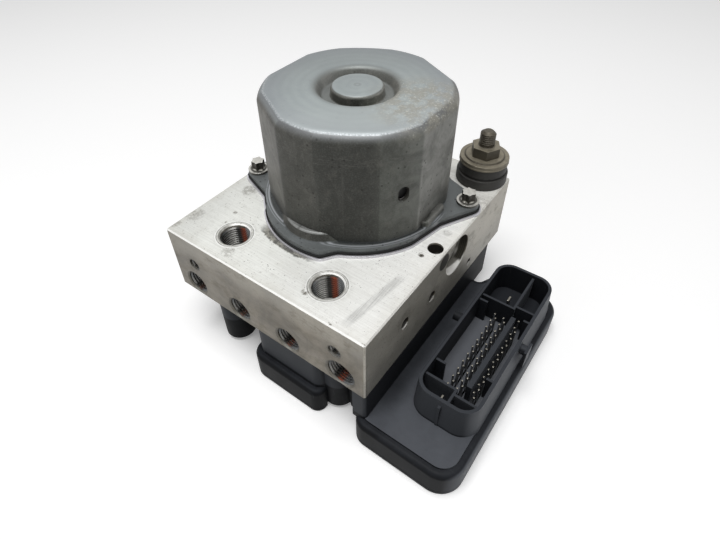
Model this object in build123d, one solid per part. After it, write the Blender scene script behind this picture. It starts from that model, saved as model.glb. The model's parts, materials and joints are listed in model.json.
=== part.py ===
from build123d import *
import math
import os

os.makedirs("parts", exist_ok=True)

# Sizes are in millimetres. The drawing's origin is the aluminium block's front left lower corner:
# X runs to the right along the row of wheel ports, Y to the back, Z up towards the motor.

# Aluminium block
block_width = 90.0
block_depth = 101.3
block_height = 29.0
edge_break = 0.5

# Threaded ports, bored to the size of the tapping drill, with a countersunk mouth
small_port_radius = 4.9
small_port_mouth = 5.4
large_port_radius = 5.5
large_port_mouth = 6.0
port_depth = 12.0
wheel_port_height = 6.0
small_port_x = (9.97, 33.2, 56.8)
large_port_inset = 10.0
top_port_y = 12.65
top_port_insets = (23.3, 23.7)

# Tapped holes that hold the module, and the plain hole and dimple beside the motor
bracket_hole_inset = 11.9
bracket_hole_drop = 12.1
bracket_hole_radius = 2.5
bracket_hole_depth = 10.5
plain_hole_inset = 4.0
plain_hole_y = 48.0
plain_hole_radius = 2.85
plain_hole_depth = 5.5
dimple_inset = 6.1
dimple_y = 42.1
dimple_radius = 0.8

# Valves, in two rows of four
left_valve_x = (13.2, 34.0)
right_valve_insets = (34.0, 13.0)
inlet_row_y = 24.5
outlet_row_y = 40.5
valve_radius = 5.0
valve_bore_depth = 15.0
dome_radius = 3.1
dome_length = 12.0

# Drilled oil passages and the plugs that close them
passage_radius = 1.8
drain_radius = 1.5
inlet_passage = (23.0, 16.3)
outlet_passage = (41.3, 12.7)
suction_passage_height = 12.7
return_passage = (71.5, 5.7)
gallery_plug_radius = 2.3
gallery_plug_length = 3.0
gallery_plug_recess = 1.6
middle_wall = 14.0

# Motor, upright on the block
motor_x = 45.4
motor_y = 58.6
end_plate_thickness = 1.0
seal_thickness = 0.8
sheet = 1.8
can_height = 45.3
can_corner_radius = 34.2
can_flat_radius = 32.6
can_bulge_radius = 33.5
bulge_angles = (120, 300)
can_crease_round = 5.0
can_rim_round = 4.0
button_radius = 9.2
button_round = 1.2
button_foot_round = 0.6
recess_depth = 3.7
recess_floor_radius = 12.3
recess_rim_radius = 14.4
recess_floor_round = 1.2
recess_rim_round = 2.2
wall_hole_angle = 331.3
wall_hole_height = 22.6
wall_hole_width = 4.0
wall_hole_length = 5.8
step_shift = (21.2, 272.0)
step_radius = 16.1
step_height = 3.6
step_slope = 1.7
step_round = 0.8
bead_reach = 2.3
bead_length = 13.8
bead_shift = -0.9
bead_height = 2.6
bead_end_round = 2.0
bead_round = 0.9

# Motor foot: round flange, a wider lobe at the front and two bolted ears
flange_radius = 36.2
flange_flat_angle = 348.0
flange_flat_radius = 35.4
lobe_radius = 33.5
lobe_shift = (6.35, 290.0)
lobe_start = 236.0
lobe_end = (39.8, 286.5)
lobe_return = (36.0, 295.0)
ear_neck_radius = 32.0
hollow_blend = 6.0
corner_blend = 1.5
ear_radius = 4.2
end_plate_margin = 1.1
motor_bolt_offset = (39.3, 14.9)
motor_bolt_radius = 2.1
motor_bolt_clearance = 0.4
motor_bolt_depth = 13.0
bolt_flange_radius = 4.2
bolt_flange_thickness = 1.0
bolt_head_radius = 2.8
bolt_head_height = 4.6
bolt_lobes = 6
bolt_flute = 0.7
bolt_lobe_round = 0.3

# Eccentric chamber under the motor and the parts on the motor's shaft
chamber_radius = 12.0
chamber_floor = 8.0
shaft_radius = 4.0
journal_radius = 2.5
running_gap = 0.03
tail_bearing = (6.5, 4.0)
flange_bearing = (8.0, 5.0)
top_bearing = (7.0, 5.0)
eccentric_radius = 7.0
eccentric_offset = 1.2
eccentric_length = 8.0
eccentric_ring_radius = 9.5
collar_radius = 9.6
collar_height = 3.2
spigot_depth = 2.5
spigot_gap = 0.05
magnet_inner_radius = 25.5
magnet_half_angle = 40.0
glue_gap = 0.1
rotor_radius = 24.6
rotor_rise = 17.0
magnet_overhang = 2.0
rotor_length = 19.0
slot_count = 12
slot_width = 4.0
slot_floor_radius = 11.5
winding_gap = 0.1
winding_radius = 23.6
end_turn_low = 5.4
end_turn_high = 2.5
commutator_radius = 9.0
commutator_rise = 4.3
commutator_length = 7.0
commutator_slot = 0.6
commutator_slot_depth = 1.5
shaft_end_gap = 0.3
shaft_hole_gap = 1.0

# Brush gear
brush_plate_radius = 30.4
brush_plate_thickness = 2.0
brush_size = 6.0
brush_length = 11.0
brush_angle = 30.0
brush_box_wall = 1.0
brush_gap = 0.1
terminal_place = (36.0, 72.6)
terminal_bore_radius = 3.5
terminal_spacing = 3.4
terminal_width = 2.4
terminal_thickness = 0.8

# Two pumps, one on each side of the eccentric
pump_drop = 9.4
pump_inner_radius = 6.0
pump_outer_radius = 8.2
pump_step = 18.6
pump_sleeve_start = 13.0
pump_sleeve_end = 36.0
pump_plug_nose = 1.4
pump_plug_recess = 4.0
pump_plug_bore = 3.4
piston_radius = 3.0
piston_tip = 10.85
piston_end = 27.0
piston_head_radius = 4.2
piston_head_length = 2.4
piston_guide = 3.0
pump_plug_bore_depth = 2.0
spring_room_radius = 4.9
pump_spring_radius = 3.7
pump_spring_wire = 0.7
spring_turns = 3

# Two low-pressure accumulators, open to the block's underside
accumulator_insets = (24.0, 23.2)
accumulator_back = 17.3
accumulator_radius = 9.0
accumulator_depth = 20.0
accumulator_piston_length = 8.0
accumulator_cap_thickness = 2.0
accumulator_spring_radius = 6.2
accumulator_spring_wire = 0.9
accumulator_spring_gap = 1.2
accumulator_spring_seat = 4.0

# Rubber mount with its stud, near the back right corner
mount_inset = 10.1
mount_back = 6.0
bush_lower_radius = 10.0
bush_lower_height = 4.3
bush_groove_radius = 8.7
bush_groove_height = 0.6
bush_upper_radius = 9.3
bush_height = 8.6
band_thickness = 0.8
washer_radius = 9.5
washer_thickness = 1.3
washer_step_radius = 7.6
washer_step_height = 0.5
nut_across_flats = 10.0
nut_height = 4.1
stud_radius = 2.75
shank_radius = 3.0
stud_core_radius = 2.5
stud_depth = 13.0
stud_length = 21.4
stud_tip = 1.0

# Control unit under the block. Its places are measured from the block's faces.
unit_front = -2.6
unit_overhang = 35.6
unit_back_inset = 9.3
tray_left = 4.0
tray_step = (36.5, 14.0)
tray_notch_insets = (19.0, 5.0)
tray_notch_depth = 7.3
tray_back_inset = 17.3
tray_tail = (7.0, 2.0, 2.0)
wide_round = 9.0
middle_round = 6.0
narrow_round = 4.0
hollow_round = 3.0
tail_round = 2.5
skirt_left = 4.0
skirt_front = 0.3
skirt_step = (38.0, 15.0)
skirt_notch_insets = (19.5, 5.5)
skirt_notch_depth = 8.0
skirt_back_inset = 8.9
skirt_round = 5.0
skirt_edge_round = 1.5
lid_bottom = -26.5
lid_thickness = 2.1
tray_top = -14.2
deck_height = -13.4
deck_thickness = 2.0
tray_edge_round = 2.0
tray_wall = 2.2
deck_margin = 2.9
skirt_wall = 2.4
seal_width = 1.0
seal_depth = 0.8
boss_radius = 6.3
front_boss_inset = 18.3
front_boss_y = 9.0
back_boss_insets = (12.4, 11.0)
back_boss_inset_y = 18.3
boss_gap = 0.3
screw_radius = 1.65
screw_depth = 8.0
screw_clearance = 0.5
screw_head_radius = 3.5
screw_head_height = 3.0
screw_head_recess = 4.5
screw_head_gap = 0.8
socket_radius = 1.6
socket_depth = 1.5

# Printed circuit board
board_left = 9.0
board_front = 17.0
board_right_inset = 3.6
board_back_inset = 25.7
board_thickness = 1.6
board_drop = 1.6
board_post_radius = 2.0
board_post_insets = (5.0, 3.0)

# Coils over the valves
yoke_half_width = 6.4
yoke_top = -1.6
yoke_plate = 1.4
yoke_side = 1.4
coil_inner_radius = 3.4
coil_terminal_spacing = 3.0
coil_terminal_size = 0.8
coil_terminal_reach = 2.4
coil_terminal_rise = 2.0
slot_clearance = 0.3

# Connector shroud on the control unit's right-hand end
shroud_gap = 9.4
shroud_width = 22.8
shroud_front = 13.8
shroud_back_inset = 15.8
shroud_corner = 6.5
shroud_rim = 0.5
shroud_wall = 1.2
shroud_taper = 4.0
shroud_floor = -12.0
divider = 0.9
divider_top = -1.0
front_divider_y = (21.0, 19.0)
back_divider_y = (64.8, 66.2)
front_split = 12.4
back_split = 13.6
ridge_span = (14.8, 16.6)
ridge_y = (25.0, 61.5)
ridge_top = -1.5
left_ribs = ((28.0, 4.9), (62.0, 4.6))
right_ribs = ((30.8, 19.0), (61.4, 19.3))
peg_y = 51.5
peg_height = -3.5
peg_radius = 1.9
peg_reach = 3.6
peg_end_gap = 0.3
peg_flange = (1.0, 5.6, 6.4)
front_rib_offset = 11.1
front_rib_top = -2.0
front_rib_size = (1.0, 1.2)

# Contacts in the connector
pin_width = 0.64
pin_tip = -4.0
pin_pitch = 3.73
pin_row_offset = (8.65, 9.7, 12.2, 13.25, 17.5, 18.4)
pin_row_start = (24.0, 25.85, 24.0, 25.85, 25.9, 24.05)
pin_count = (11, 10, 11, 10, 11, 10)
blade_width = 2.8
blade_thickness = 0.8
blade_offset = (9.6, 9.9)
blade_y = (17.6, 71.6)

# Places and levels that follow from the sizes above
large_port_x = block_width - large_port_inset
top_port_x = (top_port_insets[0], block_width - top_port_insets[1])
bracket_hole_x = (bracket_hole_inset, block_width - bracket_hole_inset)
bracket_hole_height = block_height - bracket_hole_drop
plain_hole_place = (block_width - plain_hole_inset, plain_hole_y)
dimple_place = (block_width - dimple_inset, dimple_y)
valve_x = (*left_valve_x, *[block_width - inset for inset in right_valve_insets])
accumulator_x = (accumulator_insets[0], block_width - accumulator_insets[1])
accumulator_y = block_depth - accumulator_back
mount_x = block_width - mount_inset
mount_y = block_depth - mount_back
pump_height = block_height - pump_drop
pump_plug_start = pump_sleeve_end - pump_plug_nose
rotor_low = block_height + rotor_rise
commutator_low = block_height + commutator_rise
stud_top = block_height + stud_length
unit_right = block_width + unit_overhang
unit_back = block_depth - unit_back_inset
skirt_back = block_depth - skirt_back_inset
back_boss_y = block_depth - back_boss_inset_y
boss_places = (
    (front_boss_inset, front_boss_y),
    (block_width - front_boss_inset, front_boss_y),
    (back_boss_insets[0], back_boss_y),
    (block_width - back_boss_insets[1], back_boss_y),
)
shroud_left = block_width + shroud_gap
shroud_right = shroud_left + shroud_width
shroud_back = block_depth - shroud_back_inset
plate_top = block_height + end_plate_thickness
seal_top = plate_top + seal_thickness
flange_top = seal_top + sheet
can_top = block_height + can_height
board_top = deck_height - deck_thickness - board_drop
lid_top = lid_bottom + lid_thickness


def rod(radius, start, end, end_radius=None):
    """A cylinder between two points, or a cone where the end's radius differs."""
    path = Vector(*end) - Vector(*start)
    place = Plane(origin=start, z_dir=path)
    low = (Align.CENTER, Align.CENTER, Align.MIN)
    if end_radius is None:
        return place * Cylinder(radius, path.length, align=low)
    return place * Cone(radius, end_radius, path.length, align=low)


def post(radius, x, y, low, high):
    """An upright cylinder between two levels."""
    return rod(radius, (x, y, low), (x, y, high))


def block_between(low, high):
    """A box between two opposite corners."""
    size = [b - a for a, b in zip(low, high)]
    return Pos(*low) * Box(*size, align=(Align.MIN, Align.MIN, Align.MIN))


def outline(corners):
    """A flat face through (x, y, corner radius) points."""
    points = [(x, y) for x, y, _ in corners]
    radii = [radius for _, _, radius in corners]
    return make_face(FilletPolyline(*points, radius=radii, close=True))


def slab(face, low, high):
    """The face as a plate between two levels."""
    return extrude(Pos(0, 0, low) * face, amount=high - low, dir=(0, 0, 1))


def polar(radius, angle):
    """A point at a radius and an angle in degrees."""
    turn = math.radians(angle)
    return (radius * math.cos(turn), radius * math.sin(turn))


def turned(profile, x, y):
    """A solid turned about an upright axis from (radius, level) points, with a corner radius where given."""
    corners = [point if len(point) == 3 else (*point, 0) for point in profile]
    return Pos(x, y, 0) * revolve(Plane.XZ * outline(corners), Axis.Z)


# The finished part stands on the lid, centred over it
origin_x = unit_right / 2
origin_y = (unit_front + mount_y + bush_lower_radius) / 2


def save(name, *shapes):
    """Moves a node from the drawing's origin to the part's and writes it."""
    move = Pos(-origin_x, -origin_y, -lid_bottom)
    solids = [move * solid for shape in shapes for solid in shape.solids()]
    shape = solids[0] if len(solids) == 1 else Compound(children=solids)
    export_step(shape, "parts/" + name + ".step")


# Motor foot: the same outline serves the can's flange, the seal and the end plate
def motor_foot(margin):
    face = Circle(flange_radius)
    keep = Pos(flange_flat_radius - 2 * flange_radius, 0)
    keep = keep * Rectangle(4 * flange_radius, 4 * flange_radius)
    face = face & (Rot(0, 0, flange_flat_angle) * keep)
    far = 2 * lobe_radius
    wedge = Polyline(
        (0, 0),
        polar(far, lobe_start),
        polar(far, lobe_end[1] - hollow_blend),
        polar(*lobe_end),
        polar(*lobe_return),
        close=True,
    )
    lobe = Pos(*polar(*lobe_shift)) * Circle(lobe_radius)
    face = face + (lobe & make_face(wedge))
    bolt_x, bolt_y = motor_bolt_offset
    for side in (1, -1):
        ear = Pos(side * bolt_x, side * bolt_y) * Circle(ear_radius)
        face = face + make_hull([*ear.edges(), *Circle(ear_neck_radius).edges()])
    face = offset(offset(face, hollow_blend), -hollow_blend)
    face = offset(offset(face, -corner_blend), corner_blend + margin)
    return Pos(motor_x, motor_y) * face


def motor_bolt_places():
    bolt_x, bolt_y = motor_bolt_offset
    return [(motor_x + side * bolt_x, motor_y + side * bolt_y) for side in (1, -1)]


# Six-sided plan of the motor can: straight flats on four sides, two slightly bulged ones
def can_plan(inset):
    corner = can_corner_radius - inset
    flat = can_flat_radius - inset
    half = math.degrees(math.acos(flat / corner))
    edges = []
    for middle in range(0, 360, 60):
        start = polar(corner, middle - half)
        end = polar(corner, middle + half)
        if middle in bulge_angles:
            edges.append(ThreePointArc(start, polar(can_bulge_radius - inset, middle), end))
        else:
            edges.append(Line(start, end))
        next_start = polar(corner, middle + 60 - half)
        edges.append(ThreePointArc(end, polar(corner, middle + 30), next_start))
    plan = make_face(edges)
    plan = fillet(plan.vertices(), can_crease_round - inset)
    return Pos(motor_x, motor_y) * plan


# Hydraulic block: a sawn and milled aluminium bar with every port, bore and passage
def port(bore, mouth, start, end):
    """A blind port from its mouth inwards, with a 45 degree countersink."""
    inwards = (Vector(*end) - Vector(*start)).normalized()
    sink_end = Vector(*start) + inwards * (mouth - bore)
    return rod(bore, start, end) + rod(mouth, start, tuple(sink_end), bore)


block = block_between((0, 0, 0), (block_width, block_depth, block_height))
block = chamfer(block.edges(), edge_break)
cuts = []
for x in small_port_x:
    cuts.append(
        port(
            small_port_radius,
            small_port_mouth,
            (x, 0, wheel_port_height),
            (x, port_depth, wheel_port_height),
        )
    )
cuts.append(
    port(
        large_port_radius,
        large_port_mouth,
        (large_port_x, 0, wheel_port_height),
        (large_port_x, port_depth, wheel_port_height),
    )
)
for x in top_port_x:
    cuts.append(
        port(
            large_port_radius,
            large_port_mouth,
            (x, top_port_y, block_height),
            (x, top_port_y, block_height - port_depth),
        )
    )
for x in bracket_hole_x:
    cuts.append(
        rod(
            bracket_hole_radius,
            (x, 0, bracket_hole_height),
            (x, bracket_hole_depth, bracket_hole_height),
        )
    )
cuts.append(post(plain_hole_radius, *plain_hole_place, block_height - plain_hole_depth, block_height))
cuts.append(post(dimple_radius, *dimple_place, block_height - dimple_radius, block_height))

# Valve bores from below, and the passages that join each wheel port to its two valves
for x in valve_x:
    for y in (inlet_row_y, outlet_row_y):
        cuts.append(post(valve_radius, x, y, 0, valve_bore_depth))
for x in (*small_port_x, large_port_x):
    cuts.append(
        rod(
            drain_radius,
            (x, port_depth - 1, wheel_port_height),
            (x, outlet_row_y, wheel_port_height),
        )
    )

# Cross passages of the two brake circuits, kept apart by a wall in the middle
plug_places = []
for y, z in (inlet_passage, outlet_passage):
    for side, edge in ((-1, 0.0), (1, block_width)):
        inner = (block_width + side * middle_wall) / 2
        cuts.append(rod(passage_radius, (edge, y, z), (inner, y, z)))
        seat = edge - side * (gallery_plug_length + gallery_plug_recess)
        cuts.append(rod(gallery_plug_radius, (edge, y, z), (seat, y, z)))
        plug_places.append(((edge - side * gallery_plug_recess, y, z), (seat, y, z)))
for x in accumulator_x:
    back = (x, block_depth, suction_passage_height)
    cuts.append(rod(drain_radius, back, (x, outlet_passage[0], suction_passage_height)))
    seat = (x, block_depth - gallery_plug_length - gallery_plug_recess, suction_passage_height)
    cuts.append(rod(gallery_plug_radius, back, seat))
    mouth = (x, block_depth - gallery_plug_recess, suction_passage_height)
    plug_places.append((mouth, seat))
for x in top_port_x:
    port_floor = block_height - port_depth
    cuts.append(rod(drain_radius, (x, top_port_y, port_floor + 1), (x, *inlet_passage)))
return_y, return_z = return_passage
cuts.append(
    rod(
        drain_radius,
        (block_width, return_y, return_z),
        (motor_x + chamber_radius + drain_radius, return_y, return_z),
    )
)

# Eccentric chamber, tail bearing pocket, pump bores and accumulator bores
tail_radius, tail_length = tail_bearing
cuts.append(post(chamber_radius, motor_x, motor_y, chamber_floor, block_height))
cuts.append(post(tail_radius, motor_x, motor_y, chamber_floor - tail_length, chamber_floor))
for side, edge in ((-1, 0.0), (1, block_width)):
    step = motor_x + side * pump_step
    middle = (motor_x, motor_y, pump_height)
    cuts.append(rod(pump_inner_radius, middle, (step, motor_y, pump_height)))
    cuts.append(
        rod(pump_outer_radius, (step, motor_y, pump_height), (edge, motor_y, pump_height))
    )
for x in accumulator_x:
    cuts.append(post(accumulator_radius, x, accumulator_y, 0, accumulator_depth))

# Holes for the motor's bolts, the mount's stud, the motor's terminals and the unit's screws
for x, y in motor_bolt_places():
    cuts.append(post(motor_bolt_radius, x, y, block_height - motor_bolt_depth, block_height))
cuts.append(post(stud_core_radius, mount_x, mount_y, block_height - stud_depth, block_height))
cuts.append(post(terminal_bore_radius, *terminal_place, 0, block_height))
for x, y in boss_places:
    cuts.append(post(screw_radius, x, y, 0, screw_depth))
for cut in cuts:
    block = block - cut
save("hydraulic_block", block)

plugs = [rod(gallery_plug_radius, start, end) for start, end in plug_places]
save("gallery_plugs", *plugs)


# Motor end plate: flat shim with a drawn collar that centres the motor in the chamber
bearing_radius, bearing_length = flange_bearing
collar_top = block_height + collar_height
plate = slab(motor_foot(end_plate_margin), block_height, plate_top)
plate = plate + post(collar_radius, motor_x, motor_y, plate_top, collar_top)
plate = plate + post(
    chamber_radius - spigot_gap, motor_x, motor_y, block_height - spigot_depth, block_height
)
plate = plate - post(bearing_radius, motor_x, motor_y, collar_top - bearing_length, collar_top)
plate = plate - post(
    shaft_radius + shaft_hole_gap,
    motor_x,
    motor_y,
    block_height - spigot_depth,
    collar_top - bearing_length,
)
for x, y in motor_bolt_places():
    plate = plate - post(motor_bolt_radius + motor_bolt_clearance, x, y, block_height, plate_top)
plate = plate - post(terminal_bore_radius, *terminal_place, block_height, plate_top)
save("motor_end_plate", plate)

seal = slab(motor_foot(end_plate_margin / 2), plate_top, seal_top)
seal = seal - post(can_flat_radius - sheet, motor_x, motor_y, plate_top, seal_top)
for x, y in motor_bolt_places():
    seal = seal - post(motor_bolt_radius + motor_bolt_clearance, x, y, plate_top, seal_top)
save("motor_seal", seal)

# Motor can: deep-drawn cup with a flange, a recessed top and a button over the top bearing
top_bearing_radius, top_bearing_length = top_bearing
can = slab(can_plan(0), seal_top, can_top)
can = fillet(can.faces().sort_by(Axis.Z)[-1].edges(), can_rim_round)
can = can + slab(motor_foot(0), seal_top, flange_top)
recess_floor = can_top - recess_depth
ceiling = can_top - sheet
step_x, step_y = polar(*step_shift)
step_top = flange_top + step_height
can = can + turned(
    [
        (0, seal_top),
        (step_radius, seal_top),
        (step_radius, flange_top),
        (step_radius - step_slope, step_top, step_round),
        (0, step_top),
    ],
    motor_x + step_x,
    motor_y + step_y,
)
bead_middle = motor_y + bead_shift
bead = block_between(
    (motor_x + can_flat_radius - sheet / 2, bead_middle - bead_length / 2, seal_top),
    (motor_x + can_flat_radius + bead_reach, bead_middle + bead_length / 2, flange_top + bead_height),
)
bead = fillet(bead.edges().filter_by(Axis.Z).sort_by(Axis.X)[-2:], bead_end_round)
bead_rim = bead.faces().sort_by(Axis.Z)[-1].edges().sort_by(Axis.X)[1:]
can = can + fillet(bead_rim, bead_round)
room = slab(can_plan(sheet), seal_top, ceiling)
room = room - post(
    recess_rim_radius + sheet, motor_x, motor_y, recess_floor - sheet, ceiling
)
can = can - room
can = can - turned(
    [
        (button_radius / 2, can_top + 1),
        (button_radius / 2, can_top),
        (button_radius, can_top, button_round),
        (button_radius, recess_floor, button_foot_round),
        (recess_floor_radius, recess_floor, recess_floor_round),
        (recess_rim_radius, can_top, recess_rim_round),
        (recess_rim_radius + recess_rim_round, can_top),
        (recess_rim_radius + recess_rim_round, can_top + 1),
    ],
    motor_x,
    motor_y,
)
can = can - post(
    top_bearing_radius, motor_x, motor_y, recess_floor - sheet, ceiling
)
for x, y in motor_bolt_places():
    can = can - post(motor_bolt_radius + motor_bolt_clearance, x, y, seal_top, flange_top)
wall_hole = extrude(Plane.YZ * SlotOverall(wall_hole_length, wall_hole_width, rotation=90), 2 * sheet, both=True)
wall_hole = Pos(can_flat_radius, 0, block_height + wall_hole_height) * wall_hole
can = can - Pos(motor_x, motor_y, 0) * (Rot(0, 0, wall_hole_angle) * wall_hole)
save("motor_can", can)

bolts = []
for x, y in motor_bolt_places():
    flange_end = flange_top + bolt_flange_thickness
    bolt = post(motor_bolt_radius, x, y, block_height - motor_bolt_depth, flange_top)
    bolt = bolt + post(bolt_flange_radius, x, y, flange_top, flange_end)
    tips = []
    for k in range(bolt_lobes):
        tips.append(polar(bolt_head_radius, 360 * k / bolt_lobes))
        tips.append(polar(bolt_head_radius - bolt_flute, 360 * (k + 0.5) / bolt_lobes))
    star = make_face(Polyline(*tips, close=True))
    star = fillet(star.vertices(), bolt_lobe_round)
    bolt = bolt + slab(Pos(x, y) * star, flange_end, flange_top + bolt_head_height)
    bolts.append(bolt)
save("motor_bolts", *bolts)


# Magnets glued inside the can, facing the two sides that are not flat
magnet_outer_radius = can_bulge_radius - sheet - glue_gap
magnets = []
for middle in bulge_angles:
    start = middle - magnet_half_angle
    end = middle + magnet_half_angle
    face = make_face(
        [
            ThreePointArc(
                polar(magnet_outer_radius, start),
                polar(magnet_outer_radius, middle),
                polar(magnet_outer_radius, end),
            ),
            Line(polar(magnet_outer_radius, end), polar(magnet_inner_radius, end)),
            ThreePointArc(
                polar(magnet_inner_radius, end),
                polar(magnet_inner_radius, middle),
                polar(magnet_inner_radius, start),
            ),
            Line(polar(magnet_inner_radius, start), polar(magnet_outer_radius, start)),
        ]
    )
    low = rotor_low - magnet_overhang
    high = rotor_low + rotor_length + magnet_overhang
    magnets.append(slab(Pos(motor_x, motor_y) * face, low, high))
save("motor_magnets", *magnets)

# Rotor: shaft with the eccentric, slotted iron core, windings and commutator
eccentric_low = pump_height - eccentric_length / 2
top_journal_low = ceiling - top_bearing_length
tail_low = chamber_floor - tail_length + shaft_end_gap
shaft = post(journal_radius, motor_x, motor_y, tail_low, ceiling - shaft_end_gap)
shaft = shaft + post(
    shaft_radius, motor_x, motor_y, chamber_floor + shaft_end_gap, top_journal_low - shaft_end_gap
)
shaft = shaft + post(
    eccentric_radius,
    motor_x,
    motor_y + eccentric_offset,
    eccentric_low,
    eccentric_low + eccentric_length,
)
save("rotor_shaft", shaft)

ring = post(
    eccentric_ring_radius,
    motor_x,
    motor_y + eccentric_offset,
    eccentric_low,
    eccentric_low + eccentric_length,
)
ring = ring - post(
    eccentric_radius,
    motor_x,
    motor_y + eccentric_offset,
    eccentric_low,
    eccentric_low + eccentric_length,
)
save("eccentric_bearing", ring)

core = post(rotor_radius, motor_x, motor_y, rotor_low, rotor_low + rotor_length)
core = core - post(shaft_radius, motor_x, motor_y, rotor_low, rotor_low + rotor_length)
end_turns = post(winding_radius, motor_x, motor_y, rotor_low - end_turn_low, rotor_low)
end_turns = end_turns - post(
    shaft_radius, motor_x, motor_y, rotor_low - end_turn_low, rotor_low
)
top_turns = post(
    winding_radius,
    motor_x,
    motor_y,
    rotor_low + rotor_length,
    rotor_low + rotor_length + end_turn_high,
)
top_turns = top_turns - post(
    shaft_radius,
    motor_x,
    motor_y,
    rotor_low + rotor_length,
    rotor_low + rotor_length + end_turn_high,
)
windings = end_turns + top_turns
for k in range(slot_count):
    turn = Pos(motor_x, motor_y, 0) * Rot(0, 0, 360 / slot_count * (k + 0.5))
    slot = block_between(
        (slot_floor_radius, -slot_width / 2, rotor_low),
        (rotor_radius + 1, slot_width / 2, rotor_low + rotor_length),
    )
    core = core - turn * slot
    bar = block_between(
        (slot_floor_radius + winding_gap, winding_gap - slot_width / 2, rotor_low),
        (winding_radius - 0.5, slot_width / 2 - winding_gap, rotor_low + rotor_length),
    )
    windings = windings + turn * bar
save("rotor_core", core)
save("rotor_windings", windings)

commutator = post(
    commutator_radius, motor_x, motor_y, commutator_low, commutator_low + commutator_length
)
commutator = commutator - post(
    shaft_radius, motor_x, motor_y, commutator_low, commutator_low + commutator_length
)
for k in range(slot_count):
    groove = block_between(
        (commutator_radius - commutator_slot_depth, -commutator_slot / 2, commutator_low),
        (commutator_radius + 1, commutator_slot / 2, commutator_low + commutator_length),
    )
    commutator = commutator - Pos(motor_x, motor_y, 0) * Rot(0, 0, 360 / slot_count * k) * groove
save("commutator", commutator)


# Shaft bearings: one in the button, one in the end plate's collar, one in the block
def bearing(outer, inner, low, high):
    return post(outer, motor_x, motor_y, low, high) - post(inner, motor_x, motor_y, low, high)


save(
    "top_bearing",
    bearing(top_bearing_radius, journal_radius + running_gap, ceiling - top_bearing_length, ceiling),
)
save(
    "flange_bearing",
    bearing(bearing_radius, shaft_radius + running_gap, collar_top - bearing_length, collar_top),
)
save(
    "tail_bearing",
    bearing(tail_radius, journal_radius + running_gap, chamber_floor - tail_length, chamber_floor),
)

# Brush plate on the end plate, with two boxes that guide the brushes to the commutator
brush_plate_top = plate_top + brush_plate_thickness
brush_low = brush_plate_top + brush_box_wall
brush_plate = post(brush_plate_radius, motor_x, motor_y, plate_top, brush_plate_top)
brush_plate = brush_plate - post(collar_radius, motor_x, motor_y, plate_top, brush_plate_top)
brushes = []
half_box = brush_size / 2 + brush_gap + brush_box_wall
for angle in (brush_angle, brush_angle + 180):
    turn = Pos(motor_x, motor_y, 0) * Rot(0, 0, angle)
    box = block_between(
        (commutator_radius + 1.5, -half_box, plate_top + brush_plate_thickness / 2),
        (commutator_radius + brush_length + 2, half_box, brush_low + brush_size + brush_box_wall),
    )
    channel = block_between(
        (0, -brush_size / 2 - brush_gap, brush_low),
        (commutator_radius + brush_length + 1, brush_size / 2 + brush_gap, brush_low + brush_size),
    )
    brush_plate = brush_plate + turn * box - turn * channel
    brush = block_between(
        (commutator_radius + 0.05, -brush_size / 2, brush_low),
        (commutator_radius + brush_length, brush_size / 2, brush_low + brush_size),
    )
    brushes.append(turn * brush)
save("brush_holder", brush_plate)
save("brushes", *brushes)

# Two terminal blades from the brush plate through the block down to the circuit board
terminal_x, terminal_y = terminal_place
guide = post(
    terminal_bore_radius - running_gap, terminal_x, terminal_y, deck_height, block_height
)
blades = []
slots = []
for side in (-1, 1):
    x = terminal_x + side * terminal_spacing / 2
    low = (x - terminal_thickness / 2, terminal_y - terminal_width / 2)
    high = (x + terminal_thickness / 2, terminal_y + terminal_width / 2)
    blades.append(block_between((*low, board_top), (*high, plate_top)))
guide_hole = block_between(
    (terminal_x - terminal_spacing / 2 - terminal_thickness / 2, terminal_y - terminal_width / 2, deck_height),
    (terminal_x + terminal_spacing / 2 + terminal_thickness / 2, terminal_y + terminal_width / 2, block_height),
)
guide_rib = block_between(
    (terminal_x - terminal_spacing / 2 + terminal_thickness / 2, terminal_y - terminal_width / 2, deck_height),
    (terminal_x + terminal_spacing / 2 - terminal_thickness / 2, terminal_y + terminal_width / 2, block_height),
)
guide = guide - (guide_hole - guide_rib)
save("motor_terminals", *blades)
save("terminal_guide", guide)


# Pumps: piston against the eccentric, sleeve, return spring and the plug that closes the bore
def spring(radius, wire, start, end):
    """A coil spring of square wire from start to end, inside both end faces."""
    path = Vector(*end) - Vector(*start)
    pitch = (path.length - wire) / spring_turns
    helix = Helix(pitch=pitch, height=path.length - wire, radius=radius)
    wire_end = Plane(origin=helix @ 0, z_dir=helix % 0) * Rectangle(wire, wire)
    coil = sweep(wire_end, path=helix, is_frenet=True)
    seat = Plane(origin=start, z_dir=path) * Pos(0, 0, wire / 2)
    return seat * coil


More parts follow.
